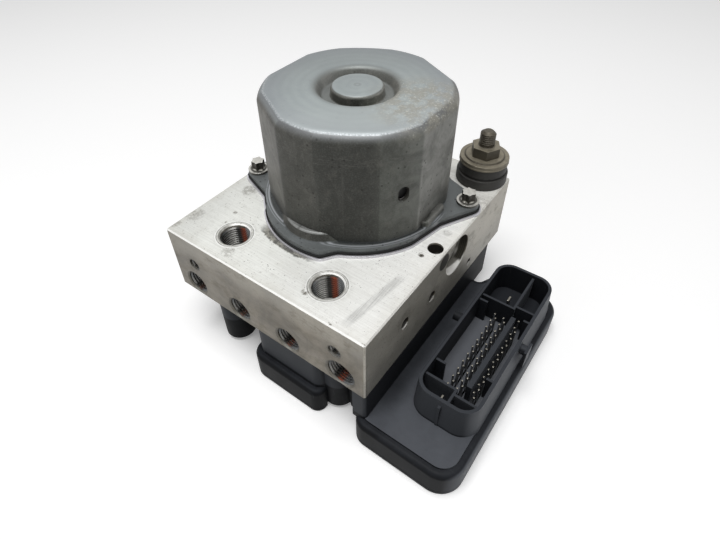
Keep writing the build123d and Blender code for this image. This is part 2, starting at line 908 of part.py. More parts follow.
for name, side, edge in (("left", -1, 0.0), ("right", 1, block_width)):

    def along(distance):
        return (motor_x + side * distance, motor_y, pump_height)

    piston = rod(piston_radius, along(piston_tip), along(piston_end))
    piston = piston + rod(
        piston_head_radius, along(piston_end - piston_head_length), along(piston_end)
    )
    save(name + "_pump_piston", piston)

    sleeve = rod(pump_inner_radius - running_gap, along(pump_sleeve_start), along(pump_step))
    sleeve = sleeve + rod(
        pump_outer_radius - running_gap, along(pump_step), along(pump_sleeve_end)
    )
    sleeve = sleeve - rod(
        piston_radius + running_gap, along(pump_sleeve_start), along(pump_step + piston_guide)
    )
    sleeve = sleeve - rod(spring_room_radius, along(pump_step + piston_guide), along(pump_sleeve_end))
    save(name + "_pump_sleeve", sleeve)

    plug_end = (edge - side * pump_plug_recess, motor_y, pump_height)
    plug = rod(pump_outer_radius, along(pump_sleeve_end), plug_end)
    plug = plug + rod(
        spring_room_radius - running_gap, along(pump_plug_start), along(pump_sleeve_end)
    )
    plug_hole_end = (edge - side * (pump_plug_recess + pump_plug_bore_depth), motor_y, pump_height)
    plug = plug - rod(pump_plug_bore, plug_hole_end, plug_end)
    save(name + "_pump_plug", plug)

    coil = spring(
        pump_spring_radius, pump_spring_wire, along(piston_end), along(pump_plug_start)
    )
    save(name + "_pump_spring", coil)

# Accumulators: piston, spring and cap in a bore from below
for name, x in zip(("left", "right"), accumulator_x):
    piston_low = accumulator_depth - accumulator_piston_length
    spring_seat = piston_low + accumulator_spring_seat
    spring_bore = accumulator_spring_radius + accumulator_spring_gap
    piston = post(
        accumulator_radius - running_gap, x, accumulator_y, piston_low, accumulator_depth
    )
    piston = piston - post(
        spring_bore, x, accumulator_y, piston_low, spring_seat
    )
    save(name + "_accumulator_piston", piston)
    save(
        name + "_accumulator_cap",
        post(accumulator_radius, x, accumulator_y, 0, accumulator_cap_thickness),
    )
    coil = spring(
        accumulator_spring_radius,
        accumulator_spring_wire,
        (x, accumulator_y, accumulator_cap_thickness),
        (x, accumulator_y, spring_seat),
    )
    save(name + "_accumulator_spring", coil)

# Valve cartridges with their domes, and the coils that sit over the domes
for name, y in (("inlet", inlet_row_y), ("outlet", outlet_row_y)):
    cartridges = []
    for x in valve_x:
        body = post(valve_radius, x, y, 0, valve_bore_depth - 1)
        cartridges.append(body + post(dome_radius, x, y, -dome_length, 0))
    save(name + "_valves", *cartridges)

yokes = []
coils = []
terminals = []
coil_slots = []
for x in valve_x:
    for y in (inlet_row_y, outlet_row_y):
        low = (x - yoke_half_width, y - coil_inner_radius - yoke_side)
        high = (x + yoke_half_width, y + coil_inner_radius + yoke_side)
        yoke = block_between((*low, deck_height), (*high, yoke_top))
        window_low = (x - yoke_half_width + yoke_plate, y - yoke_half_width, deck_height + yoke_plate)
        window_high = (x + yoke_half_width + 1, y + yoke_half_width, yoke_top - yoke_plate)
        yoke = yoke - block_between(window_low, window_high)
        yoke = yoke - post(coil_inner_radius, x, y, deck_height, yoke_top)
        yokes.append(yoke)
        coil_low = deck_height + yoke_plate
        coil_high = yoke_top - yoke_plate
        coil = post(yoke_half_width - yoke_plate, x, y, coil_low, coil_high)
        coils.append(coil - post(coil_inner_radius, x, y, coil_low, coil_high))
        pin_y = y + coil_inner_radius + coil_terminal_reach
        for side in (-1, 1):
            pin_x = x + side * coil_terminal_spacing / 2
            half = coil_terminal_size / 2
            terminals.append(
                block_between((pin_x - half, pin_y - half, board_top), (pin_x + half, pin_y + half, coil_low + coil_terminal_rise))
            )
        half = coil_terminal_size / 2 + slot_clearance
        reach = coil_terminal_spacing / 2 + half
        coil_slots.append(
            block_between((x - reach, pin_y - half, deck_height - deck_thickness), (x + reach, pin_y + half, deck_height))
        )
save("coil_yokes", *yokes)
save("coil_windings", *coils)
save("coil_terminals", *terminals)

# Rubber mount: stepped bush, metal band, dished washer, nut and stud
band_low = block_height + bush_height
washer_low = band_low + band_thickness
washer_high = washer_low + washer_thickness
nut_low = washer_high + washer_step_height
groove_low = block_height + bush_lower_height
bush = turned(
    [
        (shank_radius, block_height),
        (bush_lower_radius, block_height),
        (bush_lower_radius, groove_low),
        (bush_groove_radius, groove_low),
        (bush_groove_radius, groove_low + bush_groove_height),
        (bush_upper_radius, groove_low + bush_groove_height),
        (bush_upper_radius, band_low),
        (shank_radius, band_low),
    ],
    mount_x,
    mount_y,
)
save("rubber_bush", bush)
band = post(bush_upper_radius + 0.3, mount_x, mount_y, band_low, washer_low)
save("bush_band", band - post(shank_radius, mount_x, mount_y, band_low, washer_low))
washer = post(washer_radius, mount_x, mount_y, washer_low, washer_high)
washer = washer + post(washer_step_radius, mount_x, mount_y, washer_high, nut_low)
save("mount_washer", washer - post(shank_radius, mount_x, mount_y, washer_low, nut_low))
nut_face = Pos(mount_x, mount_y) * RegularPolygon(nut_across_flats / 2, 6, major_radius=False)
nut_high = nut_low + nut_height
nut = slab(nut_face, nut_low, nut_high)
save("mount_nut", nut - post(shank_radius, mount_x, mount_y, nut_low, nut_high))
stud = post(stud_core_radius, mount_x, mount_y, block_height - stud_depth, block_height)
stud = stud + post(shank_radius, mount_x, mount_y, block_height, nut_high)
stud = stud + post(stud_radius, mount_x, mount_y, nut_high, stud_top - stud_tip)
stud = stud + rod(
    stud_radius, (mount_x, mount_y, stud_top - stud_tip), (mount_x, mount_y, stud_top), stud_radius - stud_tip
)
save("mount_stud", stud)


# Control unit housing: the moulded piece with tray, skirt, screw bosses and connector shroud.
# It is the feature that takes the most skill here.
step_x, step_y = tray_step
notch_left, notch_right = (block_width - inset for inset in tray_notch_insets)
tray_back = block_depth - tray_back_inset
tail_reach, tail_side, tail_drop = tray_tail
tray_face = outline(
    [
        (step_x, unit_front, middle_round),
        (notch_left, unit_front, narrow_round),
        (notch_left, tray_notch_depth, hollow_round),
        (notch_right, tray_notch_depth, hollow_round),
        (notch_right, unit_front, middle_round),
        (unit_right, unit_front, wide_round),
        (unit_right, unit_back, wide_round),
        (block_width + tail_reach, unit_back, narrow_round),
        (block_width + tail_side, tray_back - tail_drop, tail_round),
        (block_width - tail_side, tray_back, narrow_round),
        (tray_left, tray_back, middle_round),
        (tray_left, step_y, middle_round),
        (step_x, step_y, hollow_round),
    ]
)
step_x, step_y = skirt_step
notch_left, notch_right = (block_width - inset for inset in skirt_notch_insets)
skirt_face = outline(
    [
        (step_x, skirt_front, skirt_round),
        (notch_left, skirt_front, narrow_round),
        (notch_left, skirt_notch_depth, 0),
        (notch_right, skirt_notch_depth, 0),
        (notch_right, skirt_front, 0),
        (block_width, skirt_front, skirt_edge_round),
        (block_width, skirt_back, skirt_edge_round),
        (skirt_left, skirt_back, skirt_round),
        (skirt_left, step_y, skirt_round),
        (step_x, step_y, hollow_round),
    ]
)


def skirt_inside(inset):
    """The skirt's outline moved inwards, without the narrow tab beside the notch."""
    return outline(
        [
            (step_x + inset, skirt_front + inset, hollow_round),
            (notch_left - inset, skirt_front + inset, skirt_edge_round),
            (notch_left - inset, skirt_notch_depth + inset, 0),
            (block_width - inset, skirt_notch_depth + inset, 0),
            (block_width - inset, skirt_back - inset, skirt_edge_round),
            (skirt_left + inset, skirt_back - inset, hollow_round),
            (skirt_left + inset, step_y + inset, hollow_round),
            (step_x + inset, step_y + inset, hollow_round),
        ]
    )


housing = slab(tray_face, lid_top, tray_top)
housing = fillet(housing.faces().sort_by(Axis.Z)[-1].edges(), tray_edge_round)
housing = housing + slab(offset(tray_face, -deck_margin), tray_top, deck_height)
housing = housing + slab(skirt_face, deck_height - deck_thickness, 0)
bosses = [post(boss_radius, x, y, lid_top, 0) for x, y in boss_places]
for boss in bosses:
    housing = housing + boss
skirt_room = slab(skirt_inside(skirt_wall), deck_height, 0)
tray_room = slab(offset(tray_face, -tray_wall), lid_top, deck_height - deck_thickness)
for boss in bosses:
    skirt_room = skirt_room - boss
    tray_room = tray_room - boss
housing = housing - skirt_room - tray_room

# Connector shroud: tapered wall round two power pockets and the signal pin pocket
shroud_size = (shroud_right - shroud_left, shroud_back - shroud_front)
shroud_middle = ((shroud_right + shroud_left) / 2, (shroud_back + shroud_front) / 2)
shroud_foot = deck_height - deck_thickness / 2
flare = (shroud_rim - shroud_foot) * math.tan(math.radians(shroud_taper))
foot = RectangleRounded(
    shroud_size[0] + 2 * flare, shroud_size[1] + 2 * flare, shroud_corner + flare
)
shroud = extrude(
    Pos(*shroud_middle, shroud_foot) * foot, shroud_rim - shroud_foot, taper=shroud_taper
)
room_face = RectangleRounded(
    shroud_size[0] - 2 * shroud_wall, shroud_size[1] - 2 * shroud_wall, shroud_corner - shroud_wall
)
room = slab(Pos(*shroud_middle) * room_face, shroud_floor, shroud_rim)
inside_left = shroud_left + shroud_wall
inside_right = shroud_right - shroud_wall
inside_front = shroud_front + shroud_wall
inside_back = shroud_back - shroud_wall
left_front_y, right_front_y = front_divider_y
left_back_y, right_back_y = back_divider_y
front_split_x = shroud_left + front_split
back_split_x = shroud_left + back_split
ridge_left, ridge_right = (shroud_left + offset_x for offset_x in ridge_span)
walls = [
    ((inside_left, left_front_y), (front_split_x, left_front_y + divider), divider_top),
    ((front_split_x, right_front_y), (inside_right, right_front_y + divider), divider_top),
    ((front_split_x, inside_front), (front_split_x + divider, left_front_y + divider), divider_top),
    ((inside_left, left_back_y), (back_split_x, left_back_y + divider), divider_top),
    ((back_split_x, right_back_y), (inside_right, right_back_y + divider), divider_top),
    ((back_split_x, left_back_y), (back_split_x + divider, inside_back), divider_top),
    ((ridge_left, ridge_y[0]), (ridge_right, ridge_y[1]), ridge_top),
]
for y, reach in left_ribs:
    walls.append(((inside_left, y), (shroud_left + reach, y + divider), divider_top))
for y, reach in right_ribs:
    walls.append(((shroud_left + reach, y), (inside_right, y + divider), divider_top))
for low, high, top in walls:
    room = room - block_between((*low, shroud_floor), (*high, top))
housing = housing + shroud - room

# Locking pegs on both sides of the shroud and the rib on its front
peg_low = (shroud_left - peg_reach, peg_y, peg_height)
housing = housing + rod(peg_radius, peg_low, (inside_left, peg_y, peg_height))
peg_high = (shroud_right + peg_reach - peg_end_gap, peg_y, peg_height)
housing = housing + rod(peg_radius, (inside_right, peg_y, peg_height), peg_high)
flange_thickness, flange_width, flange_height = peg_flange
housing = housing + block_between(
    (peg_high[0] - flange_thickness, peg_y - flange_width / 2, peg_height - flange_height),
    (peg_high[0], peg_y + flange_width / 2, peg_height + peg_radius),
)
rib_width, rib_depth = front_rib_size
front_rib_x = shroud_left + front_rib_offset
housing = housing + block_between(
    (front_rib_x - rib_width / 2, shroud_front - rib_depth, shroud_foot),
    (front_rib_x + rib_width / 2, shroud_front + shroud_wall, front_rib_top),
)

# Screw holes through the bosses, slots for coil pins and motor terminals, groove for the seal
head_seat = lid_top + screw_head_recess
for x, y in boss_places:
    housing = housing - post(screw_radius + screw_clearance, x, y, head_seat, 0)
    housing = housing - post(screw_head_radius + screw_head_gap, x, y, lid_top, head_seat)
for slot in coil_slots:
    housing = housing - slot
housing = housing - block_between(
    (terminal_x - terminal_spacing, terminal_y - terminal_width, deck_height - deck_thickness),
    (terminal_x + terminal_spacing, terminal_y + terminal_width, deck_height),
)
groove_gap = (skirt_wall - seal_width) / 2
seal_face = skirt_inside(groove_gap) - skirt_inside(groove_gap + seal_width)
groove = slab(seal_face, -seal_depth, 0)
for boss in bosses:
    groove = groove - boss
housing = housing - groove
board_right = unit_right - board_right_inset
board_back = block_depth - board_back_inset
post_x, post_y = board_post_insets
board_posts = [
    (x, y)
    for x in (board_left + post_x, board_right - post_x)
    for y in (board_front + post_y, board_back - post_y)
]
for x, y in board_posts:
    housing = housing + post(board_post_radius, x, y, board_top, deck_height - deck_thickness)

# Signal pins and power blades stand on the board and pass through the shroud's floor
pins = []
half = pin_width / 2
for row_offset, first_y, count in zip(pin_row_offset, pin_row_start, pin_count):
    x = shroud_left + row_offset
    for k in range(count):
        y = first_y + pin_pitch * k
        pins.append(block_between((x - half, y - half, board_top), (x + half, y + half, pin_tip)))
    last_y = first_y + pin_pitch * (count - 1)
    housing = housing - block_between(
        (x - half, first_y - half, deck_height - deck_thickness), (x + half, last_y + half, shroud_floor)
    )
blades = []
for blade_x, y in zip(blade_offset, blade_y):
    x = shroud_left + blade_x
    low = (x - blade_thickness / 2, y - blade_width / 2)
    high = (x + blade_thickness / 2, y + blade_width / 2)
    blades.append(block_between((*low, board_top), (*high, pin_tip)))
    housing = housing - block_between((*low, deck_height - deck_thickness), (*high, shroud_floor))
save("ecu_housing", housing)
save("ecu_seal", groove)
save("signal_pins", *pins)
save("power_blades", *blades)

# Lid welded under the tray, cut away round the screw bosses
lid = slab(tray_face, lid_bottom, lid_top)
for x, y in boss_places:
    lid = lid - post(boss_radius + boss_gap, x, y, lid_bottom, lid_top)
save("ecu_cover", lid)

screws = []
for x, y in boss_places:
    screw = post(screw_radius, x, y, head_seat, screw_depth)
    screw = screw + post(screw_head_radius, x, y, head_seat - screw_head_height, head_seat)
    socket_end = head_seat - screw_head_height + socket_depth
    screw = screw - post(socket_radius, x, y, head_seat - screw_head_height, socket_end)
    screws.append(screw)
save("ecu_screws", *screws)

board = slab(
    Pos((board_left + board_right) / 2, (board_front + board_back) / 2)
    * Rectangle(board_right - board_left, board_back - board_front),
    board_top - board_thickness,
    board_top,
)
save("circuit_board", board)
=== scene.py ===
import json
import math

import bmesh
import bpy
from mathutils import Matrix, Vector


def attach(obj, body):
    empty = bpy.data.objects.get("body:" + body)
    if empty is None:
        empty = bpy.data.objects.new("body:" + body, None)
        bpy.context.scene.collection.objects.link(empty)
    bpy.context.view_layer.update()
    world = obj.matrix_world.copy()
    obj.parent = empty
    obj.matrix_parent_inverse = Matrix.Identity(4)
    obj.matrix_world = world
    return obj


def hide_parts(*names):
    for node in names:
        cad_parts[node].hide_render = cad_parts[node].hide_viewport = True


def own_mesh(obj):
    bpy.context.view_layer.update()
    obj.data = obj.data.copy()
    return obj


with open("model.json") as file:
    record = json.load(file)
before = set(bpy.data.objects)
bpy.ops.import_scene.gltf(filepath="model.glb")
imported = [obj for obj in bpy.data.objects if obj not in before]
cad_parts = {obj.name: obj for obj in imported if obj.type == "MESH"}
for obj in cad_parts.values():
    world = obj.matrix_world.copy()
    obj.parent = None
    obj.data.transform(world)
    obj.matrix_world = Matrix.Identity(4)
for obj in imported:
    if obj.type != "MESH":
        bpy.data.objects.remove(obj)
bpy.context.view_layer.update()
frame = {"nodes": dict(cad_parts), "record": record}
slots = {part["node"]: part["material_slot"] for part in frame["record"]["subparts"]}

# Valve block: a bar of aluminium sawn to length, milled all round and drilled for the ports, valves
# and pumps. Its edges are broken by hand and its faces keep fine tool lines. The salt and damp of
# the road have left brown and grey marks near the edges. Its colour also holds painted light: the
# top is painted lighter than the sides, the holes and port mouths carry painted shade, and painted
# highlights lie on the front edge, in the pump bore, round the top ports and on the plugs.


def at(x, y, z):
    """A place measured in millimetres from the block's front left lower corner."""
    return Vector(((x - 62.8) / 1000, (y - 51.35) / 1000, (z + 26.5) / 1000))


class Shade:
    """A socket's value in a material. Arithmetic on it adds the Math nodes."""

    def __init__(self, socket):
        self.socket = socket

    def math(self, operation, *values):
        tree = self.socket.id_data
        node = tree.nodes.new("ShaderNodeMath")
        node.operation = operation
        for place, value in zip(node.inputs, values):
            if isinstance(value, Shade):
                tree.links.new(value.socket, place)
            else:
                place.default_value = value
        return Shade(node.outputs[0])

    def __add__(self, other):
        return self.math("ADD", self, other)

    def __radd__(self, other):
        return self.math("ADD", other, self)

    def __sub__(self, other):
        return self.math("SUBTRACT", self, other)

    def __rsub__(self, other):
        return self.math("SUBTRACT", other, self)

    def __mul__(self, other):
        return self.math("MULTIPLY", self, other)

    def __rmul__(self, other):
        return self.math("MULTIPLY", other, self)


class Finish:
    """A surface finish. Lengths in its pattern are millimetres in the row's frame."""

    def __init__(self, name, **fixed):
        self.material = bpy.data.materials.new(name)
        self.material.use_nodes = True
        self.tree = self.material.node_tree
        self.tree.nodes.clear()
        self.surface = self.node("ShaderNodeBsdfPrincipled", output="BSDF")
        for socket_name, value in fixed.items():
            self.set(socket_name.replace("_", " "), value)
        self.node("ShaderNodeOutputMaterial", values={"Surface": self.surface}, output=None)
        self.where = self.node("ShaderNodeTexCoord", output="Object")
        self.place = self.axes(self.where)
        self.facing = self.axes(self.node("ShaderNodeTexCoord", output="Normal"))

    def node(self, kind, settings=None, values=None, output=0):
        """Adds a node: its settings come first, then its sockets' values or links."""
        node = self.tree.nodes.new(kind)
        for setting, value in (settings or {}).items():
            if setting == "stops":
                for stop, (position, colour) in zip((0, 1), value[:2]):
                    node.color_ramp.elements[stop].position = position
                    node.color_ramp.elements[stop].color = (*colour, 1)
                for position, colour in value[2:]:
                    node.color_ramp.elements.new(position).color = (*colour, 1)
            else:
                setattr(node, setting, value)
        for socket, value in (values or {}).items():
            if isinstance(value, Shade):
                self.tree.links.new(value.socket, node.inputs[socket])
            else:
                node.inputs[socket].default_value = value
        return None if output is None else Shade(node.outputs[output])

    def set(self, socket, value):
        """Gives one of the shader's sockets a fixed value or a link."""
        place = self.surface.socket.node.inputs[socket]
        if isinstance(value, Shade):
            self.tree.links.new(value.socket, place)
        else:
            place.default_value = value

    def spread(self, lengths, shift=(0, 0, 0)):
        """The place on the piece, counted in these lengths in millimetres."""
        scale = [1000 / length for length in lengths]
        return self.node(
            "ShaderNodeMapping", values={"Vector": self.where, "Scale": scale, "Location": shift}
        )

    def cloud(self, size, detail=4.0, roughness=0.6, shift=(0, 0, 0), twist=0.0):
        """Soft noise whose marks are about this size, one length or one for each axis."""
        lengths = size if isinstance(size, tuple) else (size, size, size)
        return self.node(
            "ShaderNodeTexNoise",
            values={
                "Vector": self.spread(lengths, shift),
                "Scale": 1.0,
                "Detail": detail,
                "Roughness": roughness,
                "Distortion": twist,
            },
        )

    def pits(self, size, shift=(0, 0, 0)):
        """Distance to the nearest of many scattered points."""
        return self.node(
            "ShaderNodeTexVoronoi",
            values={"Vector": self.spread((size, size, size), shift), "Scale": 1.0},
            output="Distance",
        )

    def step(self, value, low, high, from_value=0.0, to_value=1.0):
        """A soft step from one value to another as the input goes from low to high."""
        return self.node(
            "ShaderNodeMapRange",
            {"interpolation_type": "SMOOTHSTEP"},
            {
                "Value": value,
                "From Min": low,
                "From Max": high,
                "To Min": from_value,
                "To Max": to_value,
            },
        )

    def along(self, axis, low, high):
        """A soft step from one place to another along an axis, in millimetres from the corner."""
        number = "xyz".index(axis)
        return self.step(self.place[number], *(at(end, end, end)[number] for end in (low, high)))

    def axes(self, vector):
        """The X, Y and Z of a vector."""
        parts = self.node("ShaderNodeSeparateXYZ", values={"Vector": vector})
        outputs = parts.socket.node.outputs
        return Shade(outputs[0]), Shade(outputs[1]), Shade(outputs[2])

    def mix(self, factor, first, second):
        """A colour between two."""
        first, second = (c if isinstance(c, Shade) else (*c, 1) for c in (first, second))
        values = {0: factor, 6: first, 7: second}
        return self.node("ShaderNodeMix", {"data_type": "RGBA"}, values, output=2)

    def least(self, first, second):
        """The smaller of two values."""
        return first.math("MINIMUM", first, second)

    def distance(self, value, centre):
        """How far a value is from a centre, either way."""
        return value.math("ABSOLUTE", value - centre)

    def vector(self, operation, first, second, output=0):
        """Vector Math on two vectors."""
        settings = {"operation": operation}
        return self.node("ShaderNodeVectorMath", settings, {0: first, 1: second}, output)

    def around(self, place):
        """How far the surface is from an upright axis through a place, in millimetres."""
        flat = self.vector("MULTIPLY", self.vector("SUBTRACT", self.where, place), (1000, 1000, 0))
        return self.vector("LENGTH", flat, (0, 0, 0), output="Value")

    def near(self, place, reach, soft=1.5):
        """One inside a ball round a place, nothing outside it, with a soft rim. In millimetres."""
        gap = self.vector("DISTANCE", self.where, place, output="Value")
        return self.step(gap * 1000, reach + soft, reach - soft)

    def relief(self, height, depth, strength=1.0):
        """Raises the surface where the height is large, by up to this depth in millimetres."""
        bump = self.node(
            "ShaderNodeBump",
            values={"Strength": strength, "Distance": depth / 1000, "Height": height},
        )
        self.set("Normal", bump)


def smooth_over(mesh, angle=32.0):
    """Smooth faces, with a sharp edge wherever two faces meet at more than this angle."""
    for face in mesh.faces:
        face.smooth = True
    for edge in mesh.edges:
        edge.smooth = len(edge.link_faces) == 2 and edge.calc_face_angle(0) < math.radians(angle)


def placed(mesh, name, finish):
    """Makes the object of a bmesh and lets it ride on the module."""
    data = bpy.data.meshes.new(name)
    mesh.to_mesh(data)
    mesh.free()
    data.materials.append(finish.material)
    piece = bpy.data.objects.new(name, data)
    bpy.context.scene.collection.objects.link(piece)
    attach(piece, "module")
    return piece


def dressed(node, finish, edge=0.0, angle=32.0):
    """A clean copy of a CAD node with its own finish and, if asked, broken edges."""
    mesh = bmesh.new()
    mesh.from_mesh(frame["nodes"][node].data)
    bmesh.ops.remove_doubles(mesh, verts=mesh.verts, dist=1e-6)
    bmesh.ops.dissolve_limit(
        mesh, angle_limit=math.radians(0.5), verts=mesh.verts, edges=mesh.edges
    )
    smooth_over(mesh, angle)
    piece = placed(mesh, node + "_finished", finish)
    if edge:
        bevel = piece.modifiers.new("broken_edge", "BEVEL")
        bevel.width = edge / 1000
        bevel.segments = 3 if edge > 0.4 else 2
        bevel.limit_method = "ANGLE"
        bevel.angle_limit = math.radians(40)
        bevel.use_clamp_overlap = True
        bevel.harden_normals = True
    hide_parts(node)
    return piece


block_width, block_depth, block_height = 90, 101.3, 29
motor_x, motor_y = 45.4, 58.6
pump_height = 17.4
wheel_port_x, wheel_port_height = (9.97, 33.2, 56.8, 80.0), 6
small_port_radius, large_port_radius = 4.9, 5.5
top_port_x, top_port_y = (23.3, 66.3), 12.65
bracket_hole_x, bracket_hole_height, bracket_hole_radius = (11.9, 78.1), 16.9, 2.5
side_passages = ((23.0, 16.3), (41.3, 12.7), (71.5, 5.7))
painted_hole_shade = (0.02, 0.018, 0.015)

block = Finish("milled_aluminium", Metallic=0.35, IOR=1.45)
block_x, block_y, block_z = block.place
face_x, face_y, face_z = block.facing
left_x, front_y, _ = at(0, 0, 0)
right_x, back_y, _ = at(block_width, block_depth, block_height)
top_side = block.step(face_z, 0.4, 0.8)
right_side = block.step(face_x, 0.4, 0.8)
cutter_lines = block.cloud((26.0, 0.20, 3.0), detail=4, roughness=0.75)
cross_lines = block.cloud((0.30, 14.0, 14.0), detail=3, roughness=0.7, shift=(3, 7, 1))
haze = block.cloud(17.0, detail=6, roughness=0.64, twist=0.5)
smudge = block.cloud((9.0, 9.0, 5.0), detail=6, roughness=0.7, shift=(5, 2, 9))
smudge = block.step(smudge, 0.50, 0.70)
fine_dirt = block.step(block.cloud(0.8, detail=5, roughness=0.8, shift=(2, 8, 4)), 0.56, 0.70)
dirt_field = block.step(block.cloud(12.0, detail=4, shift=(2, 5, 7)), 0.42, 0.62)
pit_field = block.step(block.cloud(7.0, detail=3, shift=(9, 1, 3)), 0.44, 0.60)
pits = block.step(block.pits(1.5), 0.17, 0.07) * pit_field
# Painted light and shade: the top is painted light and the sides darker, as lit and shaded copies
# of one aluminium.
lit_top_tone = block.mix(haze, (0.70, 0.71, 0.67), (0.93, 0.94, 0.90))
# Painted light across the top: lighter towards the right and darker towards the left edge.
lit_top_tone = block.mix(block.along("x", 30, 88) * 0.85, lit_top_tone, (0.995, 0.995, 0.965))
lit_top_tone = block.mix(block.along("x", 22, 0) * 0.45, lit_top_tone, (0.56, 0.57, 0.55))
# Darker and browner towards the back.
lit_top_tone = block.mix(block.along("y", 60, 95) * 0.32, lit_top_tone, (0.66, 0.63, 0.56))
# Painted shade on the other sides, lighter towards their top edge.
shaded_side_tone = block.mix(block.step(haze, 0.25, 0.72), (0.066, 0.055, 0.038), (0.275, 0.243, 0.190))
shaded_side_tone = block.mix(block.along("z", 16, 26) * 0.35, shaded_side_tone, (0.70, 0.665, 0.585))
shaded_side_tone = block.mix(block.along("x", 70, 0) * 0.30, shaded_side_tone, (0.22, 0.20, 0.165))
# Painted shade on the right face, darker towards the back.
shaded_right_tone = block.mix(haze, (0.38, 0.36, 0.30), (0.80, 0.77, 0.69))
shaded_right_tone = block.mix(block.along("y", 45, 85) * 0.5, shaded_right_tone, (0.42, 0.375, 0.295))
shaded_side_tone = block.mix(right_side, shaded_side_tone, shaded_right_tone)
stained_metal_and_painted_light = block.mix(top_side, shaded_side_tone, lit_top_tone)
bright_sides = 0.10 + top_side * 0.20 + right_side * 0.20
stained_metal_and_painted_light = block.mix(block.step(cutter_lines, 0.36, 0.66) * bright_sides, stained_metal_and_painted_light, (0.42, 0.41, 0.38))
stained_metal_and_painted_light = block.mix(block.step(cross_lines, 0.62, 0.74) * bright_sides * 0.4, stained_metal_and_painted_light, (0.95, 0.95, 0.93))
edge_x = block.least(block_x - left_x, right_x - block_x)
edge_way = block.least(edge_x, block.least(block_y - front_y, back_y - block_y)) * 1000
near_edge = top_side * block.step(edge_way + haze * 9, 9.0, 3.5)
stained_metal_and_painted_light = block.mix(near_edge * 0.22, stained_metal_and_painted_light, (0.44, 0.40, 0.32))
stained_metal_and_painted_light = block.mix(smudge * (0.50 - top_side * 0.34), stained_metal_and_painted_light, (0.19, 0.17, 0.135))
stained_metal_and_painted_light = block.mix(fine_dirt * (0.46 - top_side * 0.18 + dirt_field * 0.45), stained_metal_and_painted_light, (0.16, 0.14, 0.11))
stained_metal_and_painted_light = block.mix(pits * 0.85, stained_metal_and_painted_light, (0.07, 0.06, 0.05))
band_start, band_slant = at(80, 0, 0), 0.128
band_middle = (band_start.x - band_start.y * band_slant) * 1000
band_way = block.distance((block_x - block_y * band_slant) * 1000, band_middle)
band_y = block.along("y", 1, 7) * block.along("y", 32, 26)
rubbed = top_side * block.step(band_way, 2.1, 0.9) * band_y * block.step(cross_lines, 0.25, 0.60)
stained_metal_and_painted_light = block.mix(rubbed * 0.50, stained_metal_and_painted_light, (0.30, 0.30, 0.29))
stain_edge = block.cloud(1.4, detail=5, roughness=0.75, shift=(6, 2, 3))
# Stains and nicks: place, reach and strength
for spot, reach, depth in (
    ((2.5, 12.0, 29.0), 3.6, 0.42),
    ((9.0, 34.6, 29.0), 3.0, 0.50),
    ((0.6, 4.0, 29.0), 2.0, 0.45),
    ((23.3, 12.65, 29.0), 7.4, 0.30),
    ((28.1, 4.7, 29.0), 2.4, 0.40),
    ((66.3, 12.65, 29.0), 7.4, 0.34),
    ((62.1, 6.2, 29.0), 1.3, 0.90),
    ((14.6, 21.1, 29.0), 0.9, 0.90),
    ((15.7, 15.5, 29.0), 0.5, 0.80),
    ((76.8, 0.5, 29.0), 0.55, 0.95),
    ((83.6, 42.4, 29.0), 1.1, 0.90),
    ((89.1, 0.4, 29.0), 0.6, 0.90),
    ((85.6, 57.5, 29.0), 1.6, 0.35),
    ((81.0, 79.0, 29.0), 5.0, 0.22),
    ((89.4, 81.0, 29.0), 4.5, 0.30),
    ((90.0, 22.2, 18.9), 4.2, 0.45),
    ((90.0, 42.1, 12.7), 4.2, 0.45),
    ((90.0, 69.0, 19.0), 4.0, 0.30),
    ((90.0, 71.9, 6.1), 1.5, 0.95),
    ((11.9, 0.0, 16.9), 4.4, 0.42),
    ((78.1, 0.0, 16.9), 4.2, 0.36),
    ((9.97, 0.0, 6.0), 7.4, 0.36),
    ((33.2, 0.0, 6.0), 7.2, 0.32),
    ((56.8, 0.0, 6.0), 7.2, 0.32),
    ((80.0, 0.0, 6.0), 7.8, 0.34),
    ((31.0, 0.0, 18.0), 5.0, 0.30),
    ((48.0, 0.0, 14.0), 5.5, 0.28),
):
    stain = block.near(at(*spot), reach, 0.3 * reach) * block.step(stain_edge, 0.36, 0.58)
    stained_metal_and_painted_light = block.mix(stain * depth, stained_metal_and_painted_light, (0.10, 0.085, 0.06))
# Painted shade: the sunk holes on top and the side passages in the right face are painted near
# black.
sunk = block.along("z", 28.4, 28.0)
for hole, reach in (((86.0, 48.0, 24.5), 5.2), ((83.9, 42.1, 28.4), 1.2)):
    stained_metal_and_painted_light = block.mix(block.near(at(*hole), reach, 0.2) * sunk * 0.95, stained_metal_and_painted_light, painted_hole_shade)
side_hole = block.along("x", 89.8, 89.5)
# A painted highlight on the lower lip of a small hole in the right face.
stained_metal_and_painted_light = block.mix(block.near(at(90, 71.4, 4.2), 0.8, 0.3) * right_side, stained_metal_and_painted_light, (1.0, 0.99, 0.96))
for y, z in side_passages:
    stained_metal_and_painted_light = block.mix(block.near(at(88.6, y, z), 3.0, 0.2) * side_hole * 0.92, stained_metal_and_painted_light, painted_hole_shade)
